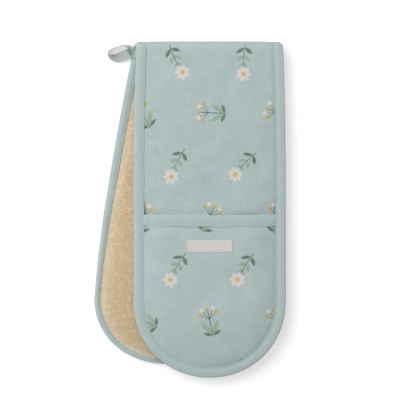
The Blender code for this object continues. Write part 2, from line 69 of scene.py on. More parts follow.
@dataclass(frozen=True)
class StripSizes:
    """Outline, layers and swelling of the padded strip, in metres and radians."""

    front_length: float = 430.0 * MM
    rear_shortfall: float = 12.7 * MM
    half_width: float = 97.0 * MM
    waist: float = 3.6 * MM
    taper_length: float = 188.0 * MM
    front_tip_length: float = 98.6 * MM
    rear_tip_length: float = 81.9 * MM
    tip_power: float = 2.06
    splay: float = math.radians(9.38)
    rear_offset: float = 1.6 * MM
    rear_bend: float = math.radians(8.0)
    rear_bend_start: float = 210.1 * MM
    gap: float = 0.3 * MM
    cloth: float = 0.8 * MM
    cloth_pressed: float = 0.5 * MM
    wadding: float = 2.4 * MM
    wadding_pressed: float = 0.8 * MM
    towelling: float = 1.7 * MM
    towelling_pressed: float = 1.0 * MM
    pocket_wadding: float = 1.6 * MM
    pocket_wadding_pressed: float = 0.6 * MM
    lining: float = 0.5 * MM
    lining_pressed: float = 0.4 * MM
    binding_cloth: float = 0.9 * MM
    binding_face: float = 13.0 * MM
    binding_back: float = 11.0 * MM
    mouth: float = 221.6 * MM
    mouth_band: float = 15.0 * MM
    mouth_cloth: float = 0.6 * MM
    mouth_step: float = 25.0 * MM
    cavity_at_mouth: float = 5.2 * MM
    cavity_at_crest: float = 7.3 * MM
    swell_run: float = 45.0 * MM
    swell_power: float = 2.2
    seam_inset: float = 2.3 * MM
    crown: float = 3.4 * MM
    lip_dip: float = 9.0 * MM
    fold_lift: float = 0.1 * MM
    rear_edge_lift: float = 1.0 * MM
    front_edge_lift: float = 5.5 * MM
    front_tip_droop: float = 8.0 * MM
    droop_start_share: float = 0.6
    fold_radius: float = 12.0 * MM
    nesting_tilt: float = math.radians(0.83)
    skew_run: float = 100.0 * MM
    hem: float = 2.6 * MM
    wadding_inset: float = 0.6 * MM
    mouth_inset: float = 0.6 * MM

    @property
    def pinch_stack(self) -> float:
        """Height of the strip's layers where the binding presses them."""
        return self.cloth_pressed + self.wadding_pressed + self.towelling_pressed + 2 * self.gap

    @property
    def full_stack(self) -> float:
        """Height of the strip's layers where they are free."""
        return self.cloth + self.wadding + self.towelling + 2 * self.gap

    @property
    def pocket_pinch(self) -> float:
        """Height of the pocket's layers where they are pressed."""
        return self.cloth_pressed + self.pocket_wadding_pressed + self.lining_pressed + 2 * self.gap

    @property
    def pocket_full(self) -> float:
        """Height of the pocket's layers where they are free."""
        return self.cloth + self.pocket_wadding + self.lining + 2 * self.gap

    @property
    def mouth_cover(self) -> float:
        """What the mouth binding adds to each face of the pocket's edge."""
        return self.mouth_cloth + self.gap

    @property
    def edge_cover(self) -> float:
        """What the edge binding adds to each face of the strip."""
        return self.binding_cloth + self.gap

    @property
    def quarter(self) -> float:
        """Length of the outer cloth from the fold's crest to where a half lies flat."""
        return self.fold_radius * (math.pi / 2 - self.nesting_tilt)


@dataclass(frozen=True)
class ClothSizes:
    """Small unevenness of the padded cloth, in metres. A pair is a start and a length."""

    table_gap: float = 0.05 * MM
    thread_gap: float = 0.25 * MM
    valley: float = 0.6 * MM
    valley_inset: float = 0.6 * MM
    valley_width: float = 1.5 * MM
    valley_left_share: float = 0.2
    valley_turn: float = 60 * MM
    valley_run: float = 20 * MM
    tuck_run: float = 21 * MM
    tuck_depth: float = 0.75 * MM
    tuck_band: tuple = (9 * MM, 9 * MM)
    corner_tuck: float = 1.9 * MM
    corner_width: float = 3.4 * MM
    relief_run: tuple = (14 * MM, 50 * MM)
    relief_inward: tuple = (10 * MM, 22 * MM)
    broad: float = 0.38 * MM
    middle: float = 0.10 * MM
    lip_tuck: float = 2.2 * MM
    lip_right: tuple = (8 * MM, 42 * MM)
    lip_left: tuple = (52 * MM, 26 * MM)
    lip_inset: float = 3.0 * MM
    lip_width: float = 4.5 * MM
    rounding_run: float = 45 * MM
    rounding_power: float = 0.45
    tape_sway: tuple = (3 * MM, 7 * MM)
    tape_bulge: float = 0.42 * MM


SIZES = StripSizes()
UNEVEN = ClothSizes()
Numbers = Union[float, np.ndarray]
Pair = tuple[np.ndarray, np.ndarray]
Lines = dict[str, np.ndarray]


def mix(low: Numbers, high: Numbers, weight: Numbers) -> Numbers:
    """The value between low and high at a weight from 0 to 1."""
    return low + (high - low) * weight


def ease(value: Numbers) -> np.ndarray:
    """Smooth step from 0 to 1, held outside."""
    held = np.clip(value, 0.0, 1.0)
    return held * held * (3 - 2 * held)


def ramp(value: Numbers, start: float, length: float) -> np.ndarray:
    """Smooth step from 0 at the start to 1 a length further on."""
    return ease((value - start) / length)


def hump(distance: Numbers, width: float) -> np.ndarray:
    """1 at no distance, which falls off smoothly to both sides."""
    return np.exp(-(distance / width) ** 2)


def swell(inward: Numbers) -> np.ndarray:
    """How far the padding has risen at a distance in from the bound edge, 0 to 1."""
    share = np.clip((inward - SIZES.binding_face + SIZES.seam_inset) / SIZES.swell_run, 0.0, 1.0)
    return 1 - (1 - share) ** SIZES.swell_power


@dataclass(frozen=True)
class Ripples:
    """Smooth unevenness of cloth, as a sum of plane waves in seeded directions."""

    wavelength: float
    seed: int
    waves: int = 16

    def at(self, x: np.ndarray, y: np.ndarray) -> np.ndarray:
        """Unevenness at places on a plane.

        Args:
            x: First coordinates, in metres.
            y: Second coordinates, of the same shape.

        Returns:
            Values about 0 with a spread of about 1.
        """
        draw = np.random.default_rng(self.seed)
        total = np.zeros(np.broadcast(x, y).shape)
        for _ in range(self.waves):
            heading, phase = draw.uniform(0, 2 * math.pi, 2)
            pace = 2 * math.pi * draw.uniform(0.7, 1.4) / self.wavelength
            total += np.sin((x * math.cos(heading) + y * math.sin(heading)) * pace + phase)
        return total / math.sqrt(self.waves / 2)


BROAD = Ripples(78 * MM, 11)
MIDDLE = Ripples(31 * MM, 12)


@dataclass(frozen=True)
class Puckers:
    """Heights of a half's settled cloth, on an even grid over its runs and widths."""

    end: float
    heights: np.ndarray

    def at(self, run: np.ndarray, across: np.ndarray) -> np.ndarray:
        """Height over the plain cloth.

        Args:
            run: Distances from the fold's crest.
            across: Distances to the right of the centre line.

        Returns:
            Heights in metres.
        """
        rows, columns = self.heights.shape
        y = np.clip(run / self.end, 0.0, 1.0) * (rows - 1)
        x = np.clip(across / (2 * SIZES.half_width) + 0.5, 0.0, 1.0) * (columns - 1)
        row, column = np.minimum(y.astype(int), rows - 2), np.minimum(x.astype(int), columns - 2)
        near = mix(self.heights[row, column], self.heights[row, column + 1], x - column)
        far = mix(self.heights[row + 1, column], self.heights[row + 1, column + 1], x - column)
        return mix(near, far, y - row)


@dataclass
class Layout:
    """Places of mesh points on one half, as arrays of one shape, such as rows by columns.

    The run is the distance from the fold's crest, across is the distance to the right of the
    centre line and inward is the distance in from the bound edge.
    """

    run: np.ndarray
    across: np.ndarray
    inward: np.ndarray

    def flat_area(self) -> float:
        """Area of the layer when it is laid out flat.

        Returns:
            The area in square metres.
        """
        x, y = self.across, self.run
        first = (x[1:, 1:] - x[:-1, :-1]) * (y[1:, :-1] - y[:-1, 1:])
        second = (x[1:, :-1] - x[:-1, 1:]) * (y[1:, 1:] - y[:-1, :-1])
        return float(abs(first - second).sum() / 2)


class Half:
    """One half of the strip: its outline, its levels and its place in the folded glove.

    A station is a distance from the crest's plane. A rise goes from 0 at the bound edge to 1
    where the padding is full. A level is a height over the plane of the patterned face.
    """

    def __init__(self, name: str, length: float, tip_length: float, edge_lift: float, droop: float) -> None:
        """Keeps the half's own sizes.

        Args:
            name: Name of the half, which its pieces' names start with.
            length: From the fold's crest to the mitt tip.
            tip_length: Depth of the rounded end.
            edge_lift: Height of the bound edge over the pattern plane along the pocket.
            droop: How far the tip hangs towards the table.
        """
        self.name = name
        self.body = f"{name}_half"
        self.length = length
        self.tip_length = tip_length
        self.edge_lift = edge_lift
        self.tip_droop = droop
        self.tip_start = length - tip_length
        self.puckers = Puckers(1.0, np.zeros((2, 2)))

    def station(self, run: Numbers) -> np.ndarray:
        """Distance from the crest's plane for a run along the outer cloth, never on the fold."""
        return np.maximum(SIZES.fold_radius, run - SIZES.quarter + SIZES.fold_radius)

    def run_to(self, station: float) -> float:
        """The run that reaches a distance from the crest's plane."""
        return station - SIZES.fold_radius + SIZES.quarter

    def half_width(self, station: Numbers) -> np.ndarray:
        """Half of the outline's width between the fold and the mitt end."""
        share = np.minimum(1.0, station / SIZES.taper_length)
        return SIZES.half_width - SIZES.waist * (1 - share) ** 2

    def droop(self, station: Numbers) -> np.ndarray:
        """How far the mitt end hangs towards the table."""
        start = mix(SIZES.mouth, self.tip_start, SIZES.droop_start_share)
        return self.tip_droop * np.maximum(0.0, (station - start) / (self.length - start)) ** 3

    def lift(self, station: Numbers) -> np.ndarray:
        """Height of the binding's outer face over the pattern plane."""
        share = ramp(station, SIZES.fold_radius, SIZES.mouth - SIZES.fold_radius)
        return mix(SIZES.fold_lift, self.edge_lift, share) + self.droop(station)

    def settled(self, station: Numbers) -> np.ndarray:
        """0 up to the end of the mouth's band and 1 from one more band's width on."""
        return ramp(station - SIZES.mouth, SIZES.mouth_band, SIZES.mouth_band)

    def strip_base(self, station: Numbers, rise: Numbers) -> np.ndarray:
        """Level of the strip's patterned face.

        Args:
            station: Stations of the points.
            rise: Their rise.

        Returns:
            Their levels.
        """
        z = SIZES
        stepped = ramp(station, z.mouth - z.mouth_step, z.mouth_step)
        edge = self.lift(station) + z.edge_cover + (z.pocket_pinch + z.gap) * stepped
        edge = edge + z.mouth_cover * (stepped - self.settled(station))
        return mix(edge, self.middle_level(station) + self.droop(station), rise)

    def middle_level(self, station: Numbers) -> np.ndarray:
        """Level of the strip's patterned face where it is full, before the droop.

        Args:
            station: Stations of the points.

        Returns:
            Their levels.
        """
        z = SIZES
        at_mouth = 2 * z.mouth_cover + z.pocket_pinch + z.cavity_at_mouth
        at_crest = z.pocket_full + z.cavity_at_crest
        climb = ramp(station, 2 * z.fold_radius, z.mouth - z.mouth_step - 2 * z.fold_radius)
        return mix(mix(0.0, at_mouth, climb), at_crest, ramp(station, z.mouth, self.tip_start - z.mouth))

    def plumpness(self, station: np.ndarray, across: np.ndarray) -> np.ndarray:
        """Shift of the outer cloth's middle from the solid, where the wadding fills it out."""
        return 0 * station * across

    def sewn(self, spread: Layout) -> np.ndarray:
        """Shift of the outer cloth by its puckers and by the valley along the binding's seam.

        Args:
            spread: Places of the points.

        Returns:
            Shifts to add to the level.
        """
        sizes = UNEVEN
        valley = hump(spread.inward - SIZES.binding_face - sizes.valley_inset, sizes.valley_width)
        side = mix(sizes.valley_left_share, 1.0, ease(spread.across / sizes.valley_turn + 0.5))
        valley = valley * side * ease(spread.run / sizes.valley_run)
        return self.puckers.at(spread.run, spread.across) + sizes.valley * valley

    def tuck(self, spread: Layout) -> np.ndarray:
        """How far the bound edge is drawn in round the fold, most at its corner.

        Args:
            spread: Places of the points.

        Returns:
            Shifts to add to the level.
        """
        near = 1 - ease(spread.run / UNEVEN.tuck_run)
        band = UNEVEN.tuck_depth * (1 - ramp(spread.inward, *UNEVEN.tuck_band))
        corner = UNEVEN.corner_tuck * hump(spread.inward, UNEVEN.corner_width)
        return near * (band + corner)

    def pocket_base(self, station: Numbers, rise: Numbers) -> np.ndarray:
        """Level of the pocket's patterned face, from the station and the rise."""
        middle = mix(SIZES.mouth_cover, 0.0, self.settled(station)) + self.droop(station)
        return mix(self.lift(station) + SIZES.edge_cover, middle, rise)

    def pocket_fullness(self, station: Numbers, rise: Numbers) -> np.ndarray:
        """How far the pocket's layers are from pressed, 0, to free, 1."""
        return rise * self.settled(station)

    def flat_point(self, station: np.ndarray, across: np.ndarray, level: np.ndarray) -> np.ndarray:
        """World places on the flat of this half, which each half works out for itself."""
        raise NotImplementedError

    def fold_angle(self, run: np.ndarray) -> np.ndarray:
        """Angle round the fold's centre at a run from its crest, which each half works out."""
        raise NotImplementedError

    def point(self, run: np.ndarray, across: np.ndarray, level: np.ndarray) -> np.ndarray:
        """World places of points of this half, round the fold and along the flat.

        Args:
            run: Distances from the fold's crest along the outer cloth.
            across: Distances to the right of the centre line.
            level: Levels over the pattern plane.

        Returns:
            An array of places with three numbers in its last axis.
        """
        run, across, level = np.broadcast_arrays(run, across, level)
        flat = self.flat_point(self.station(run), across, level)
        angle = self.fold_angle(run)
        radius = SIZES.fold_radius
        share = ease((angle + math.pi / 2) / (math.pi - 2 * SIZES.nesting_tilt))
        rear_x = rear_place(np.full(run.shape, radius), across)[0]
        bent = np.stack((
            mix(rear_x, across, share),
            -radius + (radius - level) * np.cos(angle),
            radius + (radius - level) * np.sin(angle),
        ), axis=-1)
        return np.where((run < SIZES.quarter)[..., None], bent, flat) + ORIGIN_SHIFT

    def inward(self, run: np.ndarray, across: np.ndarray) -> np.ndarray:
        """Distance in from the outline.

        Args:
            run: Distances from the fold's crest.
            across: Distances to the right of the centre line.

        Returns:
            The distances, below zero outside the outline.
        """
        station = self.station(run)
        past = np.clip((station - self.tip_start) / self.tip_length, 0.0, 2.0)
        aside = abs(across) / self.half_width(station)
        power = SIZES.tip_power
        return (1 - (aside**power + past**power) ** (1 / power)) * SIZES.half_width

    def relief(self, spread: Layout) -> np.ndarray:
        """Broad unevenness of the padded cloth, the same for both halves where they touch.

        Args:
            spread: Places of the points.

        Returns:
            Shifts to add to the level.
        """
        place = self.flat_point(self.station(spread.run), spread.across, np.zeros(np.shape(spread.run)))
        away = ramp(spread.run, *UNEVEN.relief_run) * ramp(spread.inward, *UNEVEN.relief_inward)
        upward = UNEVEN.broad * BROAD.at(place[..., 0], place[..., 1])
        upward += UNEVEN.middle * MIDDLE.at(place[..., 0], place[..., 1])
        return self.facing() * upward * away

    def facing(self) -> float:
        """1 where the level rises upwards in the folded glove, and -1 where it falls."""
        raise NotImplementedError

    def resting(self, level: np.ndarray, clear: float = UNEVEN.table_gap) -> np.ndarray:
        """The level, held clear of the table where the half lies on it."""
        return level


def rear_place(station: np.ndarray, across: np.ndarray) -> Pair:
    """Plan of the rear half: turned about the vertical, its mitt curving back to the right.

    Args:
        station: Distances from the crest's plane.
        across: Distances to the right of the centre line.

    Returns:
        X and Y before the shift to the frame's origin.
    """
    z = SIZES
    length = z.front_length - z.rear_shortfall
    radius = (length - z.rear_bend_start) / z.rear_bend
    angle = np.maximum(0.0, station - z.rear_bend_start) / radius
    bent = station > z.rear_bend_start
    along = np.where(bent, z.rear_bend_start + (radius - across) * np.sin(angle), station)
    aside = np.where(bent, radius - (radius - across) * np.cos(angle), across)
    skew = np.maximum(0.0, 1 - (station - z.fold_radius) / z.skew_run)
    square_start = (z.fold_radius - across * math.sin(z.splay)) / math.cos(z.splay)
    along = along + (square_start - z.fold_radius) * skew
    x = -z.rear_offset - along * math.sin(z.splay) + aside * math.cos(z.splay)
    y = -along * math.cos(z.splay) - aside * math.sin(z.splay)
    return x, y


class RearHalf(Half):
    """The half that lies on the table."""

    def flat_point(self, station: np.ndarray, across: np.ndarray, level: np.ndarray) -> np.ndarray:
        """World places before the shift, with the levels rising upwards."""
        x, y = rear_place(station, across)
        return np.stack((x, y, level + 0 * x), axis=-1)

    def fold_angle(self, run: np.ndarray) -> np.ndarray:
        """From the crest down to the table."""
        share = np.clip(run / SIZES.quarter, 0.0, 1.0)
        return mix(-SIZES.nesting_tilt, -math.pi / 2, share)

    def facing(self) -> float:
        """The towelling is above the patterned cloth."""
        return 1.0

    def resting(self, level: np.ndarray, clear: float = UNEVEN.table_gap) -> np.ndarray:
        """The patterned cloth is pressed flat where it meets the table."""
        return np.maximum(level, clear)


class FrontHalf(Half):
    """The half on top, upside down and leaning by twice the tilt of the nesting plane."""

    def flat_point(self, station: np.ndarray, across: np.ndarray, level: np.ndarray) -> np.ndarray:
        """World places before the shift, with the levels falling downwards.

        Args:
            station: Stations of the points.
            across: Distances to the right of the centre line.
            level: Their levels.

        Returns:
            An array of places with three numbers in its last axis.
        """
        lean = 2 * SIZES.nesting_tilt
        run = station - SIZES.fold_radius
        height = SIZES.fold_radius - level
        y = -SIZES.fold_radius + height * math.sin(lean) - run * math.cos(lean)
        z = SIZES.fold_radius + height * math.cos(lean) + run * math.sin(lean)
        return np.stack((across + 0 * y, y, z), axis=-1)

    def fold_angle(self, run: np.ndarray) -> np.ndarray:
        """From the crest up to the top face."""
        share = np.clip(run / SIZES.quarter, 0.0, 1.0)
        return mix(-SIZES.nesting_tilt, math.pi / 2 - 2 * SIZES.nesting_tilt, share)

    def facing(self) -> float:
        """The towelling is below the patterned cloth."""
        return -1.0

    def plumpness(self, station: np.ndarray, across: np.ndarray) -> np.ndarray:
        """The panel stays plump from the fold to the mouth and dips under the pocket's lip.

        Args:
            station: Distances from the crest's plane.
            across: Distances to the right of the centre line.

        Returns:
            Shifts of the level in the middle of the panel.
        """
        z = SIZES
        ends = ramp(across, *UNEVEN.lip_right) + ramp(-across, *UNEVEN.lip_left)
        tucked = UNEVEN.lip_tuck * ends * hump(station - z.mouth - UNEVEN.lip_inset, UNEVEN.lip_width)
        crowned = np.maximum(0.0, self.lift(station) + z.edge_cover - z.crown)
        under_lip = 2 * z.mouth_cover + z.pocket_pinch + z.gap
        dipped = mix(crowned, under_lip, ease((station - z.mouth + z.lip_dip) / z.lip_dip))
        inside = ease((station - z.mouth - z.mouth_band) / (3 * z.mouth_band))
        return tucked + (dipped - self.middle_level(station)) * (1 - inside)


def origin_shift() -> np.ndarray:
    """Shift from the strip's own axes to the frame's, found from the fold's lower hinge.

    Returns:
        The shift, as three numbers.
    """
    turn = math.pi / 2 - SIZES.nesting_tilt
    reach = turn * (SIZES.fold_radius - SIZES.full_stack / 2) / 2
    hinge = (0.0, -SIZES.fold_radius + reach, SIZES.fold_radius - reach / math.tan(turn / 2))
    placed = next(joint for joint in frame["joints"] if joint["name"] == "fold_lower")
    return np.array(placed["pos_m"]) - np.array(hinge)


ORIGIN_SHIFT = origin_shift()
REAR = RearHalf(
    "rear", SIZES.front_length - SIZES.rear_shortfall, SIZES.rear_tip_length, SIZES.rear_edge_lift, 0.0
)
FRONT = FrontHalf(
    "front", SIZES.front_length, SIZES.front_tip_length, SIZES.front_edge_lift, SIZES.front_tip_droop
)


# Shader tools

class Signal:
    """One number of a shader, which Python's operators carry on with Math nodes."""

    def __init__(self, graph: "Graph", socket: Any) -> None:
        """Keeps the graph and the output socket that the number comes from."""
        self.graph = graph
        self.socket = socket

    def math(self, operation: str, *others: Any) -> "Signal":
        """The result of a Math node on this number and the others."""
        return self.graph.calculated(operation, self, *others)

    def __add__(self, other: Any) -> "Signal":
        """Sum."""
        return self.math("ADD", other)

    def __sub__(self, other: Any) -> "Signal":
        """Difference."""
        return self.math("SUBTRACT", other)

    def __rsub__(self, other: float) -> "Signal":
        """Difference from a plain number."""
        return self.graph.calculated("SUBTRACT", other, self)

    def __mul__(self, other: Any) -> "Signal":
        """Product."""
        return self.math("MULTIPLY", other)

    def __truediv__(self, other: Any) -> "Signal":
        """Quotient."""
        return self.math("DIVIDE", other)

    def __abs__(self) -> "Signal":
        """Size without the sign."""
        return self.math("ABSOLUTE")

    __radd__ = __add__
    __rmul__ = __mul__

    def held(self) -> "Signal":
        """The number held between 0 and 1."""
        return self.math("MAXIMUM", 0.0).math("MINIMUM", 1.0)

    def within(self, limit: Any, soft: float) -> "Signal":
        """1 where the number is below the limit, 0 above, with a soft edge of that width."""
        return ((limit - self) / soft + 0.5).held()


class Graph:
    """The node tree of one material or of the world."""

    def __init__(self, owner: Any) -> None:
        """Empties the tree.

        Args:
            owner: The material or the world that the tree belongs to.
        """
        self.owner = owner
        self.owner.use_nodes = True
        self.tree = self.owner.node_tree
        self.tree.nodes.clear()

    def node(self, kind: str, settings: dict | None = None, inputs: dict | None = None) -> Any:
        """Adds a node, sets it up and fills its sockets.

        Args:
            kind: The node's type.
            settings: The node's own settings by name.
            inputs: Values or links by the socket's name or number.

        Returns:
            The node.
        """
        made = self.tree.nodes.new(kind)
        for key, value in (settings or {}).items():
            setattr(made, key, value)
        for key, value in (inputs or {}).items():
            target = made.inputs[key]
            source = value.socket if isinstance(value, Signal) else value
            if isinstance(source, bpy.types.NodeSocket):
                self.tree.links.new(source, target)
            elif isinstance(source, tuple) and len(source) == 3 and target.type == "RGBA":
                target.default_value = (*source, 1.0)
            else:
                target.default_value = source
        return made

    def calculated(self, operation: str, *numbers: Any) -> Signal:
        """The result of a Math node on signals and plain numbers."""
        made = self.node("ShaderNodeMath", {"operation": operation}, dict(enumerate(numbers)))
        return Signal(self, made.outputs[0])

    def rays(self, *kinds: str) -> Signal:
        """1 for light paths of any of the kinds, and 0 for all others.

        Args:
            kinds: Names of the kinds, such as Camera.

        Returns:
            The signal.
        """
        path = self.node("ShaderNodeLightPath").outputs
        seen, *others = (Signal(self, path[f"Is {kind} Ray"]) for kind in kinds)
        for other in others:
            seen = seen.math("MAXIMUM", other)
        return seen

    def cloth(self) -> tuple[Any, Signal, Signal, Signal]:
        """The piece's own cloth coordinates.

        Returns:
            Their vector socket and the three numbers, in millimetres.
        """
        vector = self.node("ShaderNodeAttribute", {"attribute_name": "cloth"}).outputs["Vector"]
        parts = self.node("ShaderNodeSeparateXYZ", None, {0: vector}).outputs
        return vector, Signal(self, parts[0]), Signal(self, parts[1]), Signal(self, parts[2])

    def noise(self, place: Any, scale: float, detail: float = 2.0, stretch: tuple = (1, 1, 1)) -> Signal:
        """Noise from 0 to 1 at a place in millimetres.

        Args:
            place: Vector socket.
            scale: Size of the noise's features, in millimetres.
            detail: Octaves.
            stretch: Factor on each axis of the place.

        Returns:
            The noise.
        """
        factors = tuple(value / scale for value in stretch)
        moved = self.node("ShaderNodeVectorMath", {"operation": "MULTIPLY"}, {0: place, 1: factors})
        inputs = {"Vector": moved.outputs[0], "Scale": 1.0, "Detail": detail}
        return Signal(self, self.node("ShaderNodeTexNoise", None, inputs).outputs["Fac"])

    def blend(self, factor: Any, low: Any, high: Any, kind: str = "MIX") -> Any:
        """Socket of a colour between two others, each a tuple or a socket."""
        settings = {"data_type": "RGBA", "blend_type": kind}
        return self.node("ShaderNodeMix", settings, {0: factor, 6: low, 7: high}).outputs[2]

    def shaded(self, colour: Any, amount: Signal, depth: float) -> Any:
        """The colour made darker and lighter.

        Args:
            colour: Colour socket or tuple.
            amount: From darkest, 0, to lightest, 1.
            depth: Greatest change each way, as a share of the colour.

        Returns:
            The colour socket.
        """
        factor = (amount - 0.5) * (2 * depth) + 1.0
        grey = self.node("ShaderNodeCombineXYZ", None, {0: factor, 1: factor, 2: factor}).outputs[0]
        return self.blend(1.0, colour, grey, "MULTIPLY")

    def finish(self, colour: Any, roughness: float, height: Signal, depth: float, sheen: float) -> Any:
        """Ends the tree in a cloth surface.

        Args:
            colour: Colour socket or tuple.
            roughness: Roughness of the surface.
            height: Signal for the bump.
            depth: Height that the bump stands for, in metres.
            sheen: Weight of the cloth's fuzz.

        Returns:
            The material.
        """
        bump = self.node("ShaderNodeBump", None, {"Strength": 1.0, "Distance": depth, "Height": height})
        surface = self.node("ShaderNodeBsdfPrincipled", None, {
            "Base Color": colour, "Roughness": roughness, "Specular IOR Level": 0.25,
            "Sheen Weight": sheen, "Sheen Roughness": 0.55, "Normal": bump.outputs[0],
        })
        self.node("ShaderNodeOutputMaterial", None, {0: surface.outputs[0]})
        return self.owner


def threads(graph: Graph, along: Signal, across: Signal, pitch: float) -> Signal:
    """Height of a plain weave, from 0 to 1.

    Args:
        graph: The material's graph.
        along: First coordinate, in millimetres.
        across: Second coordinate.
        pitch: Distance between threads, in millimetres.

    Returns:
        The height.
    """
    first = (along * (math.pi / pitch)).math("SINE")
    second = (across * (math.pi / pitch)).math("SINE")
    return abs(first) * 0.5 + abs(second) * 0.5 + first * second * 0.25


# Finishes

@dataclass(frozen=True)
class PlainCotton:
    """Duck-egg cotton with faint slubs, and painted shade along its bound seams, most on the right."""

    colour: tuple = (0.42, 0.51, 0.505)
    slub: float = 0.07
    mottle: float = 0.055
    cloudiness: float = 0.07
    thread: float = 0.55
    painted_seam_shade: tuple = (0.25, 0.33, 0.33)
    seam_shade_reach: float = 14.0
    seam_shade_soft: float = 0.8
    seam_shade_weight: float = 0.4

    def ground(self, graph: Graph) -> tuple[Any, Signal]:
        """The cloth without its print.

        Args:
            graph: The material's graph.

        Returns:
            The colour and the height of the weave.
        """
        place, across, run, inward = graph.cloth()
        weft = graph.noise(place, 1.0, 3.0, (0.05, 1.1, 0.0))
        warp = graph.noise(place, 1.0, 3.0, (1.1, 0.045, 0.0))
        cloud = graph.noise(place, 22.0, 3.0, (1, 1, 0))
        colour = graph.shaded(self.colour, weft, self.slub)
        colour = graph.shaded(colour, warp, self.slub)
        for stretch in ((0.09, 0.32, 0.0), (0.32, 0.08, 0.0)):
            colour = graph.shaded(colour, graph.noise(place, 1.0, 3.0, stretch), self.mottle)
        colour = graph.shaded(colour, cloud, self.cloudiness)
        # painted shade: the cloth darkens along the binding's seam, in step with the seam valley, less on the
        # left
        left = UNEVEN.valley_left_share
        valley = (across / (UNEVEN.valley_turn / MM) + 0.5).held() * (1 - left) + left
        seam_shade_mask = inward.within(self.seam_shade_reach, self.seam_shade_soft) * valley
        colour = graph.blend(seam_shade_mask * self.seam_shade_weight, colour, self.painted_seam_shade)
        height = threads(graph, across, run, self.thread) * 0.5 + weft * 0.7 + warp * 0.7
        return colour, height


@dataclass(frozen=True)
class Leaf:
    """A pointed leaf or a pair of mirrored ones: where it starts, its heading and its size."""

    x: float
    y: float
    heading: float
    length: float
    width: float

    def drawn(self, px: Signal, py: Signal) -> Signal:
        """The leaf's mask.

        Args:
            px: Places across, in millimetres.
            py: Places along.

        Returns:
            1 on the leaf and 0 beside it.
        """
        turn = math.radians(self.heading)
        dx, dy = px - self.x, py - self.y
        along = (dx * math.cos(turn) + dy * math.sin(turn)) / self.length
        aside = dy * math.cos(turn) - dx * math.sin(turn)
        reach = along * (1 - along) * (2 * self.width)
        return abs(aside).within(reach, 0.5)


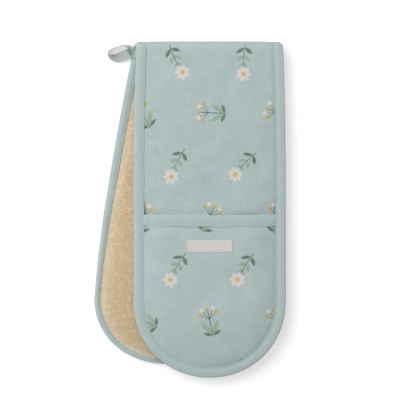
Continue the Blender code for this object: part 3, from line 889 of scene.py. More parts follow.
@dataclass(frozen=True)
class PrintedCotton(PlainCotton):
    """The same cloth with a scattered print of garden sprigs and seed heads."""

    name: str = "printed duck egg cotton"
    step_across: float = 86.0
    step_along: float = 66.0
    motif_scale: float = 1.32
    blossom: tuple = (0.73, 0.66, 0.63)
    soft_green: tuple = (0.27, 0.40, 0.26)
    dark_green: tuple = (0.075, 0.135, 0.095)
    ochre: tuple = (0.60, 0.37, 0.065)
    strength: float = 0.85

    def cell(self, graph: Graph) -> tuple[Signal, Signal, Signal]:
        """Places inside the print's cells, which lie like bricks and are turned at random.

        Args:
            graph: The material's graph.

        Returns:
            Two coordinates from the cell's middle in millimetres, and 1 in every second row.
        """
        _, across, run, _ = graph.cloth()
        row_place = run / self.step_along
        row = row_place.math("FLOOR")
        odd = row.math("FLOORED_MODULO", 2.0)
        column_place = across / self.step_across + odd * 0.5
        column = column_place.math("FLOOR")
        key = graph.node("ShaderNodeCombineXYZ", None, {0: column, 1: row, 2: 3.7}).outputs[0]
        draw = graph.node("ShaderNodeTexWhiteNoise", {"noise_dimensions": "3D"}, {"Vector": key})
        turn = (Signal(graph, draw.outputs["Value"]) - 0.5) * 2.1 + odd * 2.6
        x = (column_place - column - 0.5) * (self.step_across / self.motif_scale)
        y = (row_place - row - 0.5) * (self.step_along / self.motif_scale)
        cosine, sine = turn.math("COSINE"), turn.math("SINE")
        return x * cosine + y * sine, y * cosine - x * sine, odd

    def sprig(self, px: Signal, py: Signal) -> list[tuple[tuple, Signal]]:
        """A stem with paired leaves and a round blossom.

        Args:
            px: Places across, in millimetres.
            py: Places along.

        Returns:
            Inks and their masks, in the order they are printed.
        """
        bow = px - (py * py) * 0.006
        stem = abs(bow).within(0.45, 0.5) * abs(py + 4.0).within(13.0, 0.6)
        pairs = abs(bow)
        dark = Leaf(0.3, -13.0, 38.0, 9.5, 3.6).drawn(pairs, py)
        soft = Leaf(0.3, -5.5, 46.0, 8.5, 3.4).drawn(pairs, py)
        small = Leaf(0.3, 1.5, 52.0, 5.5, 2.4).drawn(pairs, py)
        cx, cy = px - 0.6, py - 12.5
        radius = (cx * cx + cy * cy).math("SQRT")
        angle = cy.math("ARCTAN2", cx)
        petals = (angle * 3.5).math("COSINE")
        bloom = radius.within(abs(petals) * 2.2 + 5.2, 0.6)
        spokes = bloom * (angle * 14.0).math("COSINE").within(-0.75, 0.3)
        heart = radius.within(2.1, 0.6)
        return [
            (self.dark_green, stem), (self.soft_green, soft), (self.dark_green, dark),
            (self.soft_green, small), (self.blossom, bloom), (self.soft_green, spokes * 0.6),
            (self.ochre, heart),
        ]

    def seed_head(self, px: Signal, py: Signal) -> list[tuple[tuple, Signal]]:
        """A fan of stalks with round seeds, over two long leaves.

        Args:
            px: Places across, in millimetres.
            py: Places along.

        Returns:
            Inks and their masks, in the order they are printed.
        """
        pairs = abs(px)
        inks = [(self.dark_green, pairs.within(0.45, 0.5) * abs(py + 3.0).within(13.5, 0.6))]
        inks.append((self.soft_green, Leaf(0.2, -14.0, 58.0, 15.0, 4.2).drawn(pairs, py)))
        inks.append((self.dark_green, Leaf(0.4, -15.0, 24.0, 9.0, 3.2).drawn(pairs, py)))
        stalks = ((90.0, 9.0, self.ochre), (60.0, 11.0, self.blossom), (34.0, 9.5, self.ochre))
        for heading, length, ink in stalks:
            turn = math.radians(heading)
            dx, dy = pairs, py - 1.0
            along = dx * math.cos(turn) + dy * math.sin(turn)
            aside = abs(dy * math.cos(turn) - dx * math.sin(turn))
            stalk = aside.within(0.3, 0.4) * abs(along - length / 2).within(length / 2, 0.5)
            inks.append((self.dark_green, stalk))
            cx, cy = dx - length * math.cos(turn), dy - length * math.sin(turn)
            inks.append((ink, (cx * cx + cy * cy).math("SQRT").within(1.9, 0.5)))
        return inks

    def material(self) -> bpy.types.Material:
        """The printed cloth.

        Returns:
            The material.
        """
        graph = Graph(bpy.data.materials.new(self.name))
        colour, height = self.ground(graph)
        place, _, _, _ = graph.cloth()
        px, py, odd = self.cell(graph)
        faded = 0.65 + graph.noise(place, 1.2, 3.0) * 0.6
        wanted = [(1 - odd, self.sprig(px, py)), (odd, self.seed_head(px, py))]
        for chosen, inks in wanted:
            for ink, mask in inks:
                colour = graph.blend((mask * chosen * faded * self.strength).held(), colour, ink)
        return graph.finish(colour, 0.9, height, 0.10 * MM, 0.12)


@dataclass(frozen=True)
class BindingTape:
    """Bias-cut cotton of the bound edges, with its diagonal weave and a painted highlight along its folded
    crown.
    """

    name: str = "duck egg binding"
    colour: tuple = (0.42, 0.515, 0.51)
    highlight_colour: tuple = (0.47, 0.56, 0.56)

    def material(self) -> bpy.types.Material:
        """The finished tape.

        Returns:
            The material.
        """
        graph = Graph(bpy.data.materials.new(self.name))
        place, across, run, highlight_band = graph.cloth()
        weave = threads(graph, across + run, across - run, 0.8)
        streak = graph.noise(place, 1.0, 3.0, (0.9, 0.12, 0.0))
        cloud = graph.noise(place, 12.0, 3.0, (1, 1, 0))
        # painted highlight: lighter colour along the tape's folded edge, where light falls on the roll
        colour = graph.blend(highlight_band.held(), self.colour, self.highlight_colour)
        colour = graph.shaded(colour, streak, 0.05)
        colour = graph.shaded(colour, cloud, 0.05)
        return graph.finish(colour, 0.88, weave * 0.6 + streak * 0.8, 0.12 * MM, 0.12)


@dataclass(frozen=True)
class LoopedTowelling:
    """Beige cotton with a dense pile of small loops, and painted light near the bound edge."""

    name: str = "beige towelling"
    colour: tuple = (0.70, 0.548, 0.336)
    deep: tuple = (0.596, 0.445, 0.253)
    painted_rim_light: tuple = (0.87, 0.79, 0.66)
    rim_weight: float = 0.45
    rim_reach: float = 17.0
    rim_soft: float = 14.0

    def material(self) -> bpy.types.Material:
        """The finished pile.

        Returns:
            The material.
        """
        graph = Graph(bpy.data.materials.new(self.name))
        place, _, _, inward = graph.cloth()
        curls = [self.curl(graph, place, size) for size in (2.4, 1.7)]
        loops = curls[0].math("MAXIMUM", curls[1] * 0.9)
        tuft = graph.noise(place, 5.5, 4.0, (1, 1, 0))
        patch = graph.noise(place, 26.0, 2.0, (1, 1, 0))
        colour = graph.blend(loops.held(), self.deep, self.colour)
        # painted light: the pile is lighter near the bound edge, where it rolls up towards the light
        lit_rim_mask = inward.within(self.rim_reach, self.rim_soft)
        colour = graph.blend(lit_rim_mask * self.rim_weight, colour, self.painted_rim_light)
        colour = graph.shaded(colour, tuft, 0.10)
        colour = graph.shaded(colour, patch, 0.06)
        return graph.finish(colour, 0.95, loops + tuft * 0.4, 0.45 * MM, 0.2)

    def curl(self, graph: Graph, place: Any, size: float) -> Signal:
        """Loops of yarn that lie in all directions.

        Args:
            graph: The material's graph.
            place: Vector socket of the cloth's places.
            size: Size of the loops in millimetres.

        Returns:
            Their height, from 0 to 1.
        """
        winding = graph.noise(place, size, 1.0, (1, 0.9, 0))
        return (1 - abs(winding - 0.5) * 9.0).math("MAXIMUM", 0.0)


@dataclass(frozen=True)
class Fleece:
    """White fibrous wadding."""

    name: str = "white wadding"
    colour: tuple = (0.86, 0.85, 0.82)

    def material(self) -> bpy.types.Material:
        """The finished wadding.

        Returns:
            The material.
        """
        graph = Graph(bpy.data.materials.new(self.name))
        place, _, _, _ = graph.cloth()
        fibre = graph.noise(place, 1.6, 5.0, (1, 0.4, 0))
        clump = graph.noise(place, 9.0, 3.0, (1, 1, 0))
        colour = graph.shaded(self.colour, fibre, 0.10)
        return graph.finish(colour, 0.96, fibre * 0.6 + clump, 0.5 * MM, 0.15)


@dataclass(frozen=True)
class LiningCotton:
    """Plain undyed cotton inside the pockets."""

    name: str = "plain lining"
    colour: tuple = (0.80, 0.78, 0.73)

    def material(self) -> bpy.types.Material:
        """The finished lining.

        Returns:
            The material.
        """
        graph = Graph(bpy.data.materials.new(self.name))
        place, across, run, _ = graph.cloth()
        weave = threads(graph, across, run, 0.5)
        slub = graph.noise(place, 1.0, 3.0, (0.06, 1.0, 0.0))
        colour = graph.shaded(self.colour, slub, 0.05)
        return graph.finish(colour, 0.92, weave * 0.6 + slub, 0.08 * MM, 0.1)


@dataclass(frozen=True)
class WovenRibbon:
    """Off-white label ribbon with fine ribs across."""

    name: str = "label ribbon"
    colour: tuple = (0.65, 0.625, 0.59)
    shade: tuple = (0.52, 0.505, 0.48)

    def material(self) -> bpy.types.Material:
        """The finished ribbon.

        Returns:
            The material.
        """
        graph = Graph(bpy.data.materials.new(self.name))
        place, across, run, _ = graph.cloth()
        rib = abs((run * (math.pi / 0.85)).math("SINE"))
        fine = graph.noise(place, 1.0, 3.0, (0.12, 1.6, 0.0))
        colour = graph.blend((fine - 0.42) * 2.2, self.colour, self.shade)
        colour = graph.shaded(colour, rib, 0.05)
        height = rib * 0.7 + abs((across * (math.pi / 0.4)).math("SINE")) * 0.3
        return graph.finish(colour, 0.7, height, 0.08 * MM, 0.1)


@dataclass(frozen=True)
class HerringboneTape:
    """Green-grey cotton tape of the hanging loop, with slanting ribs and firm edges."""

    name: str = "loop tape"
    colour: tuple = (0.46, 0.55, 0.505)
    pale: tuple = (0.58, 0.66, 0.61)

    def material(self) -> bpy.types.Material:
        """The finished tape.

        Returns:
            The material.
        """
        graph = Graph(bpy.data.materials.new(self.name))
        place, across, run, _ = graph.cloth()
        slant = abs(((abs(across) + run) * (math.pi / 1.1)).math("SINE"))
        streak = graph.noise(place, 1.0, 3.0, (1.0, 0.08, 0.0))
        colour = graph.blend(slant * 0.55, self.colour, self.pale)
        colour = graph.shaded(colour, streak, 0.06)
        return graph.finish(colour, 0.9, slant, 0.16 * MM, 0.12)


@dataclass(frozen=True)
class SewingThread:
    """Matching cotton thread with a slight lustre."""

    name: str = "sewing thread"
    colour: tuple = (0.40, 0.49, 0.485)

    def material(self) -> bpy.types.Material:
        """The finished thread.

        Returns:
            The material.
        """
        graph = Graph(bpy.data.materials.new(self.name))
        place = graph.node("ShaderNodeTexCoord").outputs["Object"]
        ply = graph.node("ShaderNodeTexNoise", None, {"Vector": place, "Scale": 2600.0, "Detail": 1.0})
        colour = graph.shaded(self.colour, Signal(graph, ply.outputs["Fac"]), 0.12)
        return graph.finish(colour, 0.6, Signal(graph, ply.outputs["Fac"]), 0.05 * MM, 0.05)


class Finish(Enum):
    """The finishes of the glove's pieces."""

    PRINTED = PrintedCotton()
    BINDING = BindingTape()
    TOWELLING = LoopedTowelling()
    FLEECE = Fleece()
    LINING = LiningCotton()
    RIBBON = WovenRibbon()
    TAPE = HerringboneTape()
    THREAD = SewingThread()

    def dress(self, piece: bpy.types.Object) -> None:
        """Gives the piece this finish, made once and shared.

        Args:
            piece: The piece.
        """
        known = bpy.data.materials.get(self.value.name) or self.value.material()
        piece.data.materials.clear()
        piece.data.materials.append(known)


def hand_over(piece: bpy.types.Object, finish: Finish, *nodes: str, body: str = "") -> None:
    """Dresses a piece, puts it on the body it rides on and hides the nodes that it stands for.

    Args:
        piece: The piece.
        finish: Its finish.
        nodes: The nodes of the frame that it replaces, which are hidden.
        body: The body it rides on, or nothing for a piece that goes on no body.
    """
    finish.dress(piece)
    if body:
        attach(piece, body)
    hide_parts(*nodes)


# Mesh tools

def only(piece: bpy.types.Object) -> None:
    """Makes the piece the only selected and active one.

    Args:
        piece: The piece.
    """
    bpy.ops.object.select_all(action="DESELECT")
    piece.select_set(True)
    bpy.context.view_layer.objects.active = piece


def grid_piece(name: str, rows: int, columns: int) -> tuple[bpy.types.Object, np.ndarray, np.ndarray]:
    """A grid to be shaped, and the row and column of each of its points.

    Args:
        name: Name of the piece.
        rows: Count of points along.
        columns: Count of points across.

    Returns:
        The piece, its points' rows and its points' columns.
    """
    bpy.ops.object.select_all(action="DESELECT")
    bpy.ops.mesh.primitive_grid_add(x_subdivisions=columns - 1, y_subdivisions=rows - 1, size=1.0)
    piece = bpy.context.active_object
    piece.name = piece.data.name = name
    places = np.empty(len(piece.data.vertices) * 3)
    piece.data.vertices.foreach_get("co", places)
    places = places.reshape(-1, 3)
    row = np.rint((places[:, 1] + 0.5) * (rows - 1)).astype(int)
    column = np.rint((places[:, 0] + 0.5) * (columns - 1)).astype(int)
    return piece, row, column


def set_places(piece: bpy.types.Object, places: np.ndarray) -> None:
    """Moves all of the piece's points."""
    piece.data.vertices.foreach_set("co", np.ascontiguousarray(places, dtype=np.float32).ravel())
    piece.data.update()


def set_cloth(piece: bpy.types.Object, cloth: np.ndarray) -> None:
    """Stores the cloth coordinates, in millimetres, that the materials read."""
    layer = piece.data.attributes.new("cloth", "FLOAT_VECTOR", "POINT")
    layer.data.foreach_set("vector", np.ascontiguousarray(cloth, dtype=np.float32).ravel())


def face_outwards(piece: bpy.types.Object, doubles: bool = False) -> None:
    """Makes all faces of a closed piece point outwards.

    Args:
        piece: The piece.
        doubles: Whether to merge points in one place and close holes first.
    """
    only(piece)
    bpy.ops.object.mode_set(mode="EDIT")
    bpy.ops.mesh.select_all(action="SELECT")
    if doubles:
        bpy.ops.mesh.remove_doubles(threshold=1e-6)
        bpy.ops.mesh.select_all(action="DESELECT")
        bpy.ops.mesh.select_mode(type="EDGE")
        bpy.ops.mesh.select_non_manifold(
            extend=False, use_wire=False, use_multi_face=False, use_non_contiguous=False, use_verts=False
        )
        bpy.ops.mesh.fill()
        bpy.ops.mesh.select_all(action="SELECT")
    bpy.ops.mesh.normals_make_consistent(inside=False)
    bpy.ops.object.mode_set(mode="OBJECT")


def smooth(piece: bpy.types.Object, angle: float) -> None:
    """Shades the piece smooth up to an angle between faces, in degrees."""
    only(piece)
    bpy.ops.object.shade_smooth_by_angle(angle=math.radians(angle))


def layout(half: Half, start: float, pitch: float, hem: float) -> Layout:
    """Spreads a layer's mesh points over a half, from a run to the rounded end.

    Args:
        half: The half.
        start: Run of the first row.
        pitch: Distance between points.
        hem: Distance in from the outline of the layer's edge.

    Returns:
        The layout.
    """
    z = SIZES
    tip_run = half.run_to(half.tip_start)
    rows = max(2, round((tip_run - start) / pitch))
    sides = np.linspace(-1.0, 1.0, 2 * round(z.half_width / pitch) + 1)[None, :]
    run = np.linspace(start, tip_run, rows + 1)[:, None]
    width = half.half_width(half.station(run))
    across = sides * (width - hem)
    inward = width - abs(across)
    run = run + 0 * across
    ends = np.linspace(0.0, 1.0, max(2, round(half.tip_length / pitch)) + 1)[1:, None]
    x = sides * np.sqrt(1 - ends**2 / 2)
    y = ends * np.sqrt(1 - sides**2 / 2)
    radius = np.hypot(x, y)
    power = 2 / z.tip_power
    shrink = radius * (1 - hem / z.half_width)
    tip_across = z.half_width * shrink * np.sign(x) * (abs(x) / radius) ** power
    tip_run_to = tip_run + half.tip_length * shrink * (y / radius) ** power
    return Layout(
        np.vstack((run, tip_run_to)),
        np.vstack((across, tip_across)),
        np.vstack((inward, (1 - shrink) * z.half_width)),
    )


@dataclass(frozen=True)
class Layer:
    """One layer of padded cloth: what lies under it and its own thickness, free and pressed."""

    under: float
    under_pressed: float
    thick: float
    thick_pressed: float
    plump: tuple[float, float]

    def over(self, thick: float, thick_pressed: float, plump: tuple[float, float]) -> "Layer":
        """The next layer, which lies on this one with a small gap.

        Args:
            thick: Its thickness where it is free.
            thick_pressed: Its thickness where it is pressed.
            plump: Shares of the outer cloth's shift that its two faces take on.

        Returns:
            The layer.
        """
        under = self.under + self.thick + SIZES.gap
        under_pressed = self.under_pressed + self.thick_pressed + SIZES.gap
        return Layer(under, under_pressed, thick, thick_pressed, plump)

    def faces(self, base: np.ndarray, fullness: np.ndarray, fuller: np.ndarray) -> Pair:
        """Levels of the layer's two faces.

        Args:
            base: Level of the patterned face.
            fullness: From pressed, 0, to free, 1.
            fuller: Shift of the outer cloth, which each face takes on by its share.

        Returns:
            Levels of the lower and the upper face.
        """
        low = base + mix(self.under_pressed, self.under, fullness)
        high = low + mix(self.thick_pressed, self.thick, fullness)
        return low + self.plump[0] * fuller, high + self.plump[1] * fuller


OUTER = Layer(0.0, 0.0, SIZES.cloth, SIZES.cloth_pressed, (1.0, 1.0))
WADDING = OUTER.over(SIZES.wadding, SIZES.wadding_pressed, (1.0, 0.0))
TOWELLING = WADDING.over(SIZES.towelling, SIZES.towelling_pressed, (0.0, 0.0))
POCKET_WADDING = OUTER.over(SIZES.pocket_wadding, SIZES.pocket_wadding_pressed, (1.0, 0.0))
LINING = POCKET_WADDING.over(SIZES.lining, SIZES.lining_pressed, (0.0, 0.0))


@dataclass(frozen=True)
class Settling:
    """A cloth simulation of one half's outer cloth, which is cut a little larger than its place.

    The sheet is sewn down along the binding and the mouth band and held round the fold, and
    springs that stand for the wadding hold the rest. It grows most beside its seams, so it
    puckers there. It is simulated at a larger scale, because small cloth is stiff to step.
    """

    pitch: float = 3.0 * MM
    scale: float = 10.0
    frames: int = 20
    quality: int = 6
    growth: float = 0.001
    seam_growth: float = 0.02
    seam_reach: float = 14.0 * MM
    fold_reach: float = 14 * MM
    hold: float = 0.15
    bending: float = 4.0
    start_height: float = 0.05 * MM
    start_wave: float = 10 * MM
    depth_share: float = 0.22
    most: float = 0.40 * MM

    def settle(self, half: Half, seed: int) -> Puckers:
        """Runs the simulation.

        Args:
            half: The half.
            seed: Seed of the faint unevenness that the sheet starts with.

        Returns:
            The settled heights.
        """
        z = SIZES
        end = half.run_to(half.length)
        rows, columns = round(end / self.pitch) + 1, 2 * round(z.half_width / self.pitch) + 1
        sheet, row, column = grid_piece("settling_sheet", rows, columns)
        run, across = row * end / (rows - 1), (2 * column / (columns - 1) - 1) * z.half_width
        start = self.start_height * Ripples(self.start_wave, seed).at(run, across)
        set_places(sheet, np.stack((across, run, start), axis=-1) * self.scale)
        from_band = abs(run - half.run_to(z.mouth + z.mouth_band / 2)) - z.mouth_band / 2
        from_seam = np.minimum(half.inward(run, across) - z.binding_face + z.seam_inset, from_band)
        free = np.minimum(from_seam, run - self.fold_reach)
        sewn, calm = sheet.vertex_groups.new(name="sewn"), sheet.vertex_groups.new(name="calm")
        for index, distance in enumerate(free.tolist()):
            sewn.add([index], 1.0 if distance < 0 else self.hold, "REPLACE")
            calm.add([index], 1 - math.exp(-max(0.0, distance) / self.seam_reach), "REPLACE")
        self.simulate(sheet)
        places = np.empty(len(row) * 3)
        sheet.data.vertices.foreach_get("co", places)
        heights = np.zeros((rows, columns))
        heights[row, column] = places[2::3] / self.scale * self.depth_share
        bpy.data.objects.remove(sheet, do_unlink=True)
        for axis in (0, 1):
            heights = (np.roll(heights, 1, axis) + 2 * heights + np.roll(heights, -1, axis)) / 4
        return Puckers(end, np.clip(heights, -self.most, self.most))

    def simulate(self, sheet: bpy.types.Object) -> None:
        """Runs Blender's cloth on the sheet and applies it.

        Args:
            sheet: The sheet, with its vertex groups sewn and calm.
        """
        cloth = sheet.modifiers.new("settling", "CLOTH")
        cloth.settings.quality = self.quality
        cloth.settings.bending_stiffness = self.bending
        cloth.settings.vertex_group_mass = "sewn"
        cloth.settings.vertex_group_shrink = "calm"
        cloth.settings.shrink_min = -self.seam_growth
        cloth.settings.shrink_max = -self.growth
        cloth.settings.effector_weights.gravity = 0.0
        cloth.collision_settings.use_collision = False
        cloth.point_cache.frame_end = self.frames
        for step in range(1, self.frames + 1):
            bpy.context.scene.frame_set(step)
        only(sheet)
        bpy.ops.object.modifier_apply(modifier=cloth.name)
        bpy.context.scene.frame_set(1)


def layer_piece(half: Half, name: str, spread: Layout, low: np.ndarray, high: np.ndarray) -> bpy.types.Object:
    """A layer of the quilt as a closed sheet between two levels.

    Args:
        half: The half that it belongs to.
        name: Name of the piece.
        spread: Places of its mesh points.
        low: Levels of the face nearer the patterned side.
        high: Levels of the other face.

    Returns:
        The piece.
    """
    piece, row, column = grid_piece(name, *spread.run.shape)
    bottom = half.point(spread.run, spread.across, low)[row, column]
    top = half.point(spread.run, spread.across, high)[row, column]
    set_places(piece, bottom)
    only(piece)
    wall = piece.modifiers.new("thickness", "SOLIDIFY")
    wall.thickness = SIZES.cloth_pressed
    wall.use_rim = True
    bpy.ops.object.modifier_apply(modifier=wall.name)
    set_places(piece, np.vstack((bottom, top)))
    cloth = np.stack((spread.across, spread.run, spread.inward), axis=-1)[row, column] / MM
    set_cloth(piece, np.vstack((cloth, cloth)))
    face_outwards(piece)
    smooth(piece, 55)
    return piece


def strip_blend(half: Half, piece: bpy.types.Object) -> None:
    """Bakes the world placement into the mesh of a piece that starts at the fold's crest.

    Args:
        half: The half.
        piece: The piece.
    """
    inner = SIZES.full_stack + SIZES.cloth
    crest = half.point(np.array(0.0), np.array(0.0), np.array(inner))
    settled = half.point(np.array(SIZES.quarter), np.array(0.0), np.array(inner))
    settled[0] = crest[0]
    if half is FRONT:
        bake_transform(piece)
    else:
        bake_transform(piece)


@dataclass(frozen=True)
class Stitch:
    """The stitches of a row: their spacing and their length, and what all rows share."""

    pitch: float
    length: float
    radius: float = 0.27 * MM
    squareness: float = 0.8
    probe: float = 0.4 * MM
    slant: float = 0.16


def sewn_line(name: str, places: np.ndarray, outwards: np.ndarray, stitch: Stitch) -> bpy.types.Object:
    """A row of stitches along a line on the cloth.

    Args:
        name: Name of the piece.
        places: Points of the line, close together.
        outwards: Directions away from the cloth at those points.
        stitch: Sizes of the stitches.

    Returns:
        The piece.
    """
    bpy.ops.object.select_all(action="DESELECT")
    bpy.ops.mesh.primitive_uv_sphere_add(segments=6, ring_count=5, radius=1.0)
    one = bpy.context.active_object
    bpy.ops.object.mode_set(mode="EDIT")
    bpy.ops.transform.rotate(value=math.pi / 2, orient_axis="Y", center_override=(0, 0, 0))
    bpy.ops.object.mode_set(mode="OBJECT")
    shape = np.array([vertex.co for vertex in one.data.vertices])
    faces = [tuple(face.vertices) for face in one.data.polygons]
    bpy.data.objects.remove(one, do_unlink=True)
    shape = np.sign(shape) * abs(shape) ** stitch.squareness
    shape = shape * (stitch.length / 2, stitch.radius, stitch.radius)
    steps = np.linalg.norm(np.diff(places, axis=0), axis=1)
    travelled = np.concatenate(([0.0], np.cumsum(steps)))
    count = max(1, int(travelled[-1] / stitch.pitch))
    stops = (np.arange(count) + 0.5) * travelled[-1] / count

    def along(values: np.ndarray, at: np.ndarray) -> np.ndarray:
        """Values of the line at distances from its start."""
        return np.stack([np.interp(at, travelled, values[:, axis]) for axis in range(3)], axis=-1)

    middles, ups = along(places, stops), along(outwards, stops)
    ahead = along(places, stops + stitch.probe) - along(places, stops - stitch.probe)
    ahead /= np.linalg.norm(ahead, axis=1)[:, None]
    ups -= ahead * (ups * ahead).sum(axis=1)[:, None]
    ups /= np.linalg.norm(ups, axis=1)[:, None]
    asides = np.cross(ups, ahead)
    ahead, asides = ahead + stitch.slant * asides, asides - stitch.slant * ahead
    points = middles[:, None] + (
        shape[None, :, 0:1] * ahead[:, None] + shape[None, :, 1:2] * asides[:, None]
        + shape[None, :, 2:3] * ups[:, None]
    )
    joined = [tuple(index + k * len(shape) for index in face) for k in range(count) for face in faces]
    mesh = bpy.data.meshes.new(name)
    mesh.from_pydata(points.reshape(-1, 3).tolist(), [], joined)
    mesh.update()
    piece = bpy.data.objects.new(name, mesh)
    bpy.context.scene.collection.objects.link(piece)
    face_outwards(piece)
    smooth(piece, 60)
    Finish.THREAD.dress(piece)
    return piece


def flat_sheet(spread: Layout) -> None:
    """Works out a sheet's flat size and area, and keeps neither."""
    size = (2 * (SIZES.half_width - SIZES.hem), float(np.ptp(spread.run)))
    spread.flat_area()


# Sub-assemblies

@dataclass
class Quilt:
    """The strip's own layers on one half: patterned cloth, wadding and towelling.

    The pile's tufts and clumps are each a size in metres and a share of its depth.
    """

    half: Half
    cloth_pitch: float = 2.0 * MM
    wadding_pitch: float = 4.5 * MM
    towel_pitch: float = 1.65 * MM
    pile_depth: float = 0.16 * MM
    pile_grain: float = 0.45
    pile_tufts: tuple = (6.0 * MM, 0.6)
    pile_clumps: tuple = (11.0 * MM, 0.5)
    pile_most: float = 1.9
    pile_sunk: float = 1.6

    def levels(self, spread: Layout, layer: Layer) -> Pair:
        """Levels of a layer's two faces.

        Args:
            spread: Places of the layer's mesh points.
            layer: The layer.

        Returns:
            Levels of the lower and the upper face.
        """
        half = self.half
        station = half.station(spread.run)
        rise = swell(spread.inward)
        rounder = mix(rise**UNEVEN.rounding_power, rise, ease(spread.run / UNEVEN.rounding_run))
        base = half.strip_base(station, rounder) + half.tuck(spread)
        base = half.resting(base + half.relief(spread))
        fuller = half.plumpness(station, spread.across) * rise + half.sewn(spread)
        return layer.faces(base, rise, half.resting(base + fuller) - base)

    def build(self) -> list[bpy.types.Object]:
        """Makes and dresses the three layers.

        Returns:
            The outer cloth, the wadding and the towelling.
        """
        z, half = SIZES, self.half
        spread = layout(half, 0.0, self.cloth_pitch, z.hem)
        outer = layer_piece(half, f"{half.name}_outer_cloth", spread, *self.levels(spread, OUTER))
        self.place(outer, Finish.PRINTED, "outer", spread)
        soft = layout(half, 0.0, self.wadding_pitch, z.hem + z.wadding_inset)
        wadding = layer_piece(half, f"{half.name}_padding", soft, *self.levels(soft, WADDING))
        hand_over(wadding, Finish.FLEECE, f"{half.name}_wadding", "fold_wadding")
        strip_blend(half, wadding)
        pile = layout(half, 0.0, self.towel_pitch, z.hem)
        low, high = self.levels(pile, TOWELLING)
        towel = layer_piece(half, f"{half.name}_towel", pile, low, high + self.pile(pile))
        self.place(towel, Finish.TOWELLING, "towelling", pile)
        return [outer, wadding, towel]

    def pile(self, spread: Layout) -> np.ndarray:
        """Unevenness of the towelling's looped face.

        Args:
            spread: Places of the mesh points.

        Returns:
            Shifts of the face's level, hardly any of them above its plain level.
        """
        draw = np.random.default_rng(21 if self.half is REAR else 22)
        rough = self.pile_grain * draw.normal(0.0, 1.0, spread.run.shape)
        for seed, (size, share) in ((31, self.pile_tufts), (32, self.pile_clumps)):
            rough = rough + share * Ripples(size, seed).at(spread.run, spread.across)
        return self.pile_depth * (np.clip(rough, -self.pile_most, self.pile_most) - self.pile_sunk)

    def place(self, piece: bpy.types.Object, finish: Finish, layer: str, spread: Layout) -> None:
        """Dresses a sheet of the quilt, hides the frame's nodes that it replaces and bakes its placement.

        Args:
            piece: The sheet.
            finish: Its finish.
            layer: Name of the layer in the frame.
            spread: Places of its mesh points.
        """
        half = self.half
        hand_over(piece, finish, f"{half.name}_{layer}", f"fold_{layer}")
        strip_blend(half, piece)
        flat_sheet(spread)


